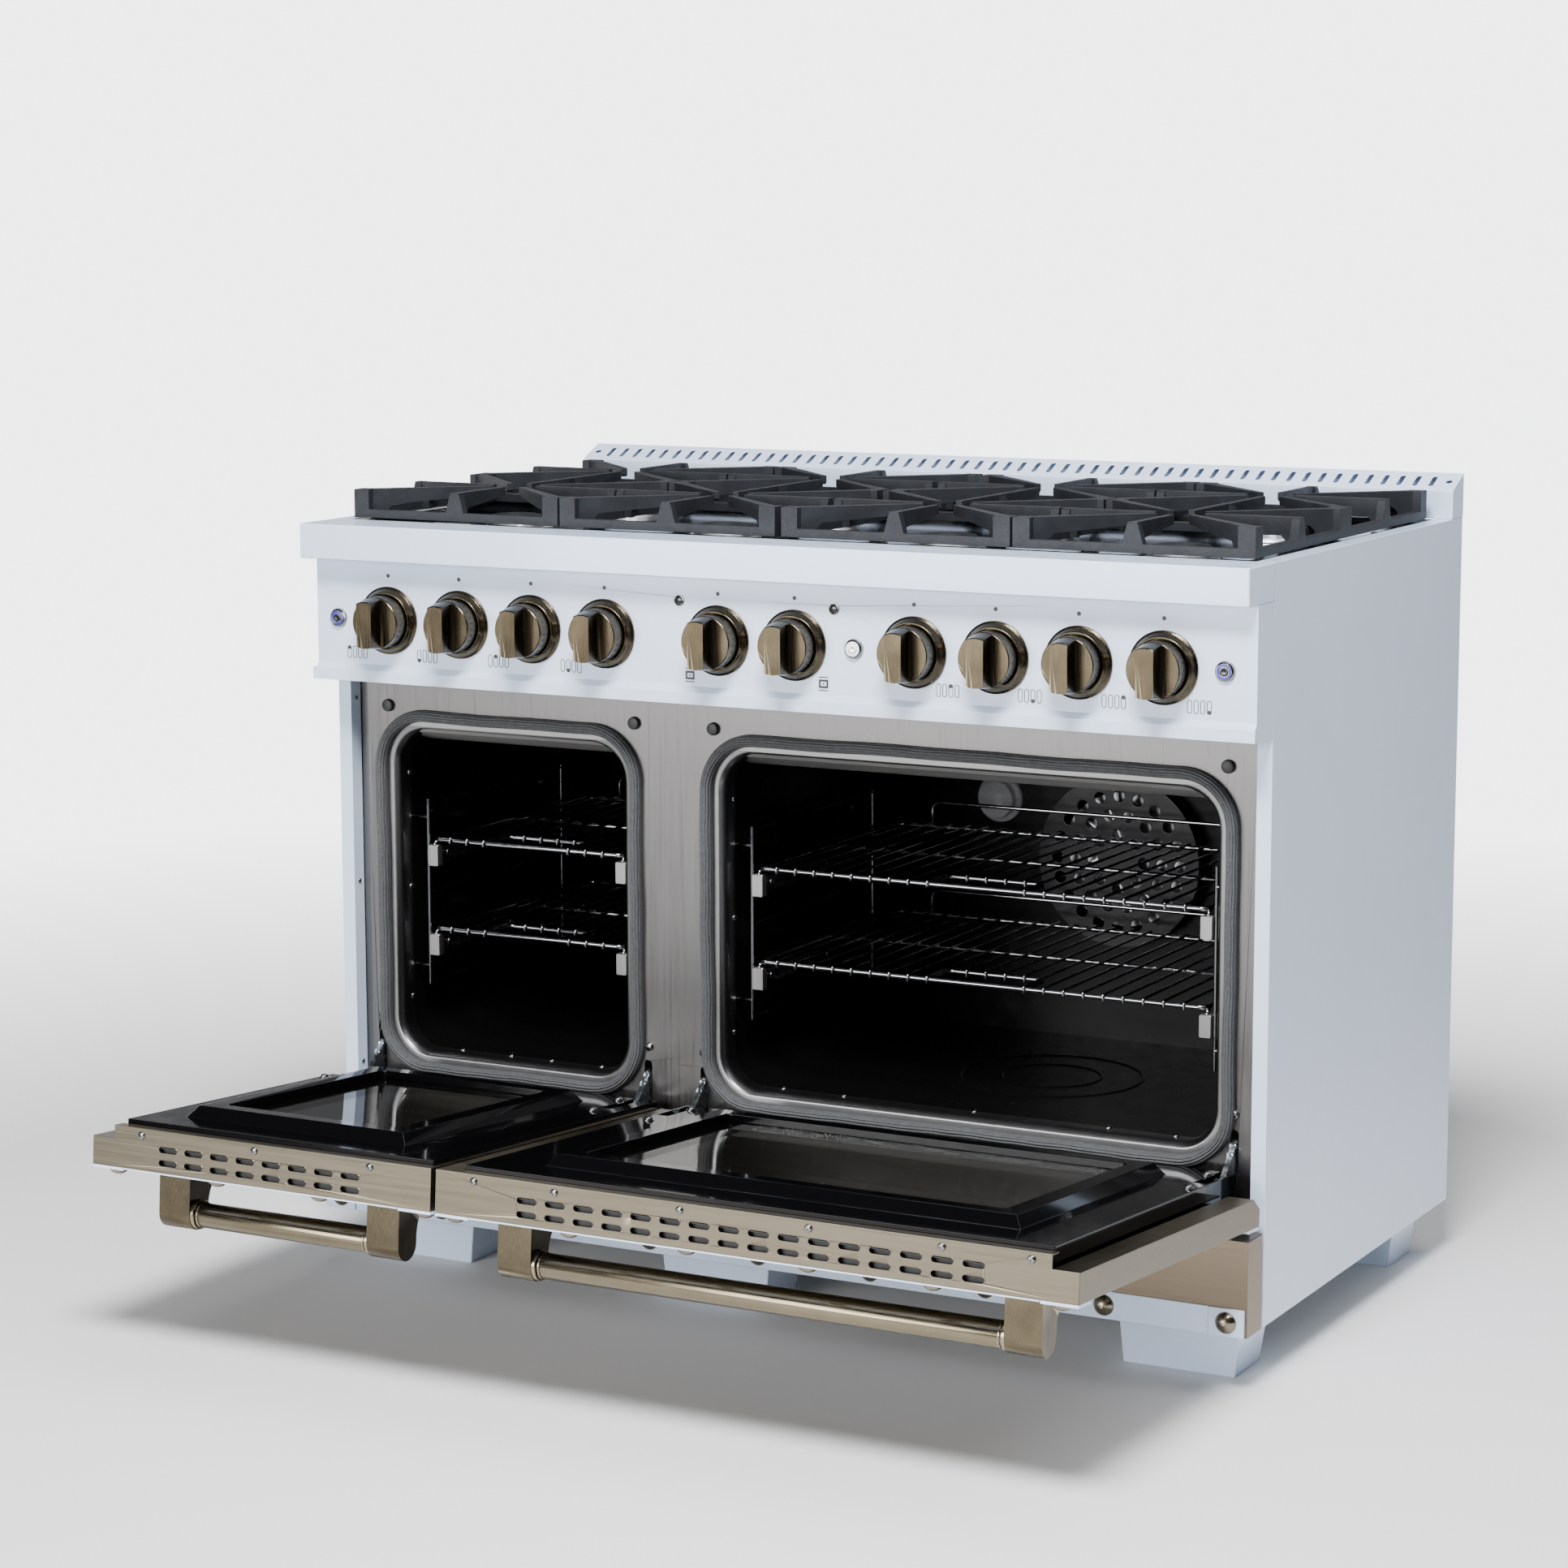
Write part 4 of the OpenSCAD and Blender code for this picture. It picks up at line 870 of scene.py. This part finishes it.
def rack(k, level, z):
    """Chrome wires with hooked ends, the slides under them, and their brushed end caps."""
    xc, w = OVENS[k]
    half = w / 2 - 31.7
    near = (3, 9)[k]
    total = 2 * near + 4
    pitch = 2 * half / (total + 1)
    gap = 2.5 * pitch
    wire, thin, hook = 3.0, 1.8, 4.5
    y0, y1 = RACK_Y0, RACK_Y1
    body = "rack_%s_%s" % (SIDES[k], level)

    def at(x, y, h):
        return vec(xc + x, y, z + h)

    bm = bmesh.new()
    corners = [at(0, y0, 0), at(-half, y0, 0), at(-half, y1, 0),
               at(half, y1, 0), at(half, y0, 0), at(0, y0, 0)]
    tube(bm, rounded_path(corners, 9), wire, 12, dome=False)
    tube(bm, [at(-half, (y0 + y1) / 2, -0.8), at(half, (y0 + y1) / 2, -0.8)], 2.5)
    grip = y0 + 55
    tube(bm, rounded_path([at(-gap, y0, 0), at(-gap, grip, 0), at(gap, grip, 0), at(gap, y0, 0)], 8), 2.7)
    rise, loop = 31, half - 48
    fence = [at(-loop, y1, 0), at(-loop, y1, rise), at(loop, y1, rise), at(loop, y1, 0)]
    tube(bm, rounded_path(fence, 10), 2.5)
    for i in range(total):
        x = (i - (total - 1) / 2) * pitch
        front = grip if near <= i < near + 4 else y0
        top = wire + 0.7
        hooked = [at(x, front - hook, -3.4), at(x, front - hook, top),
                  at(x, y1 + hook, top), at(x, y1 + hook, -3.4)]
        tube(bm, rounded_path(hooked, 3.2, 4), thin, 8)
    for s in (-1, 1):
        tube(bm, rounded_path([at(s * half, y0 + 16, -2), at(s * (half + 1.5), y0 + 3, -3.5),
                               at(s * (half + 1.5), y0 + 1.5, -9)], 4), 2.2)
    ob = piece(bm, body + "_wires", CHROME, body, 50)
    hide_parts(body)

    bm = bmesh.new()
    for s in (-1, 1):
        channel = ((-2, -28.5), (2, -28.5), (2, -24.5), (0.4, -24), (0.4, -17), (2, -16.5), (2, -12.5),
                   (-2, -12.5), (-2, -15.5), (-0.8, -16.5), (-0.8, -24.5), (-2, -25.5))
        loft(bm, [[at(s * (half + a), y, h) for a, h in channel] for y in (y0 + 6, y1 - 46)])
        screw(bm, at(s * (half - 1.9), y0 + 24, -20), vec(-s, 0, 0), 4.6)
        screw(bm, at(s * (half - 1.9), y0 + 168, -20), vec(-s, 0, 0), 3.6)
    piece(bm, body + "_slides", SLIDE, body, 40)

    bm = bmesh.new()
    for s in (-1, 1):
        middle = at(s * (half + 1.2), y0 - 4, -20.5)
        outline = []
        for cx, cz, start in ((5.4, 11.6, 0), (-5.4, 11.6, 90), (-5.4, -11.6, 180), (5.4, -11.6, 270)):
            for j in range(5):
                t = math.radians(start + 22.5 * j)
                outline.append(middle + vec(cx + 1.8 * math.cos(t), 0, cz + 1.8 * math.sin(t)))
        slab(bm, outline, vec(0, 10.5, 0), 0.8)
    piece(bm, body + "_caps", CAP, body, 30)


# ---------------------------------------------------------------- doors

def on_door(x, u, w):
    """A point of a closed door: u up from its lower edge, w in from its outer face."""
    return vec(x, DOOR_Y + w, DOOR_Z + u)


def door_piece(bm, name, mat, k, angle=38):
    """A piece made on the closed door, swung open with it."""
    bmesh.ops.transform(bm, matrix=SWING, verts=bm.verts)
    piece(bm, name, mat, "door_" + SIDES[k], angle)


def door_screws(k):
    """Small heads along the door's top edge, and larger ones with washers on its liner."""
    bm = bmesh.new()
    edge_x = ((-540, -386, -233), (-99.6, 1.2, 153.5, 305.2, 456.4, 555.5))[k]
    for x in edge_x:
        screw(bm, on_door(x, DOOR_H + 0.05, 40), UP, 4.3)
    inner = (((-552, 12), (-565, 95), (-202, 9.8), (-189.3, 90.6)),
             ((-99.9, 14.1), (-106, 104.3), (551.8, 17.4), (564.3, 101)))[k]
    for x, u in inner:
        lathe(bm, on_door(x, u, 53), -FORWARD, ((6.6, 0), (6.6, 0.7), (6.0, 0.9)), 24)
        screw(bm, on_door(x, u, 53.8), -FORWARD, 5.0)
    door_piece(bm, "door_screws_" + SIDES[k], SCREW, k)


def door_pan(k):
    """The brushed well that shows through the glass."""
    xc, half = DOOR_CENTRE[k], BEAD_HALF[k] - 30
    u0, u1, w0, w1, t = 70, 390, 4.6, 49, 1.0
    bm = bmesh.new()

    def frame(grow, w):
        return [on_door(xc + sx * (half + grow), (u0 + u1) / 2 + sz * ((u1 - u0) / 2 + grow), w)
                for sx, sz in ((-1, -1), (1, -1), (1, 1), (-1, 1))]

    loft(bm, [frame(0, w0 + t), frame(0, w1), frame(t, w1), frame(t, w0)])
    for s in (-0.42, 0.36):
        screw(bm, on_door(xc + s * half, u0 + 36, w0 + t), -FORWARD, 3.6)
    door_piece(bm, "door_well_" + SIDES[k], WELL, k, 30)


def hinge_cheeks(k):
    """Zinc cheeks and pin heads of the two hinges."""
    profile = ((11.8, 0), (11.8, 1.3), (11.3, 1.7), (5.0, 1.7), (5.0, 2.6), (4.4, 3.4), (2.2, 3.9))
    bm = bmesh.new()
    for x, side in zip(HINGE_X[k], (1, -1)):
        middle = x + side * 14
        for s in (-1, 1):
            lathe(bm, vec(middle + s * 5.05, PIVOT[0], PIVOT[1]), vec(s, 0, 0), profile, 36)
    piece(bm, "hinge_cheeks_" + SIDES[k], HINGE, "door_" + SIDES[k])


def hinge_rivets():
    """Domed rivets on both sides of each hinge arm."""
    profile = ((3.4, 0), (3.2, 0.8), (2.2, 1.5), (0.9, 1.8))
    bm = bmesh.new()
    for x in HINGE_X[0] + HINGE_X[1]:
        for s in (-1, 1):
            for y, z in ((-49.5, 253.5), (-40.5, 262.5)):
                lathe(bm, vec(x + s * 3.0, y, z), vec(s, 0, 0), profile, 20)
    piece(bm, "hinge_rivets", HINGE, BODY)


def handle_collars(k):
    """Collars where the bar enters the two posts."""
    inner = ((-502.0, -262.0), (-50.0, 510.0))[k]
    bm = bmesh.new()
    for x, s in zip(inner, (1, -1)):
        centre = on_door(x + s * 0.05, 430, -54)
        lathe(bm, centre, vec(s, 0, 0), ((17.0, 0), (17.0, 3.6), (16.3, 4.4), (14.7, 4.6)), 48)
        lathe(bm, centre + vec(s * 6.2, 0, 0), vec(s, 0, 0),
              ((14.62, 0), (15.3, 0.5), (15.3, 1.9), (14.62, 2.4)), 48)
    door_piece(bm, "handle_collars_" + SIDES[k], BRASS_LONG, k)


def slot_edges(k):
    """The light punched edge round each air slot of the door."""
    count, pitch = (8, 16)[k], 35
    x0, x1 = ((-608, -154), (-148, 608))[k]
    bm = bmesh.new()
    for i in range(count):
        x = (x0 + x1) / 2 + (i - (count - 1) / 2) * pitch
        for w in (11.5, 26.5):
            outer = pill(on_door(x, DOOR_H + 0.25, w), RIGHT, FORWARD, 26.0, 8.0)
            inner = pill(on_door(x, DOOR_H + 0.25, w), RIGHT, FORWARD, 24.8, 6.8)
            down = vec(0, 0, -2.2)
            rings = [[a - vec(0, 0, 0.3), a.lerp(b, 0.4), b, b + down, a.lerp(b, 0.7) + down]
                     for a, b in zip(outer, inner)]
            loft(bm, rings, loop=True)
    door_piece(bm, "air_slot_edges_" + SIDES[k], CHAMPAGNE, k, 50)


def slot_painted_shade(k):
    """A dark sheet behind the air slots: painted shade that makes them read as openings."""
    x0, x1 = ((-570, -162), (-138, 570))[k]
    bm = bmesh.new()
    for depth, w0, w1, thick in ((7, 4, 27, -1.2), (7, 27.4, 28.4, 4.6), (2.4, 31, 44, -1.2)):
        outline = [on_door(x, DOOR_H - depth, w) for x, w in ((x0, w0), (x1, w0), (x1, w1), (x0, w1))]
        slab(bm, outline, vec(0, 0, thick))
    # the dark rubber colour here is painted shade inside the slots
    door_piece(bm, "slot_painted_shade_" + SIDES[k], RUBBER_AND_SLOT_SHADE, k, 30)


# ---------------------------------------------------------------- cavity and back

def cavity_details():
    """Faint raised rings pressed in the large oven's floor, and screws on its walls."""
    bm = bmesh.new()
    centre = vec(226.5, 215, MOUTH_LOW)
    for r in (60, 110):
        ring_of(bm, centre, UP, r, ((-2.5, 0.02), (-1.2, 1.0), (0, 1.3), (1.2, 1.0), (2.5, 0.02)), 72)
    piece(bm, "floor_rings", CAVITY, BODY, 70)
    bm = bmesh.new()
    for k in (0, 1):
        xc, w = OVENS[k]
        for s in (-1, 1):
            for y in (40, 300):
                for z in (355, 545):
                    screw(bm, vec(xc + s * (w / 2 - 0.05), y, z), vec(-s, 0, 0), 3.6)
    piece(bm, "wall_screws", SCREW, BODY)


def back_screws():
    """Screws along the edges of the back panel."""
    bm = bmesh.new()
    edge_x, along = 570, 190
    places = [(x, z) for x in range(-edge_x, edge_x + 1, along) for z in (100, 890)]
    places += [(x, z) for x in (-edge_x, edge_x) for z in (260, 420, 580, 740)]
    for x, z in places:
        screw(bm, vec(x, BACK_Y, z), -FORWARD, 2.8)
    piece(bm, "back_screws", SCREW, BODY)


gasket_ropes()
mouth_lips()
mouth_plates()
mouth_screws()
frame_screws()
bumpers()
panel_prints()
button_rings()
button_faces()
knob_marks()
for k in (0, 1):
    for level, z in RACK_LEVELS:
        rack(k, level, z)
    door_screws(k)
    door_pan(k)
    hinge_cheeks(k)
    handle_collars(k)
    slot_edges(k)
    slot_painted_shade(k)
hinge_rivets()
cavity_details()
back_screws()


# ---------------------------------------------------------------- floor

def make_floor():
    """A pale floor that fades out with distance from the range."""
    bm = bmesh.new()
    bmesh.ops.create_grid(bm, x_segments=2, y_segments=2, size=5)
    mesh = bpy.data.meshes.new("floor")
    bm.to_mesh(mesh)
    bm.free()
    floor = bpy.data.objects.new("floor", mesh)
    bpy.context.scene.collection.objects.link(floor)
    m, nt, s = material("floor_pale")
    nt.links.new(colour_mix(nt, noise(nt, object_coords(nt), 0.8), (0.84, 0.84, 0.84), (0.87, 0.87, 0.87)),
                 s.inputs["Base Color"])
    s.inputs["Roughness"].default_value = 0.7
    reach = node(nt, "ShaderNodeVectorMath", operation="LENGTH")
    nt.links.new(object_coords(nt), reach.inputs[0])
    nt.links.new(spread(nt, reach.outputs["Value"], 1.0, 0.0, (1.3, 3.6)), s.inputs["Alpha"])
    floor.data.materials.append(m)


make_floor()
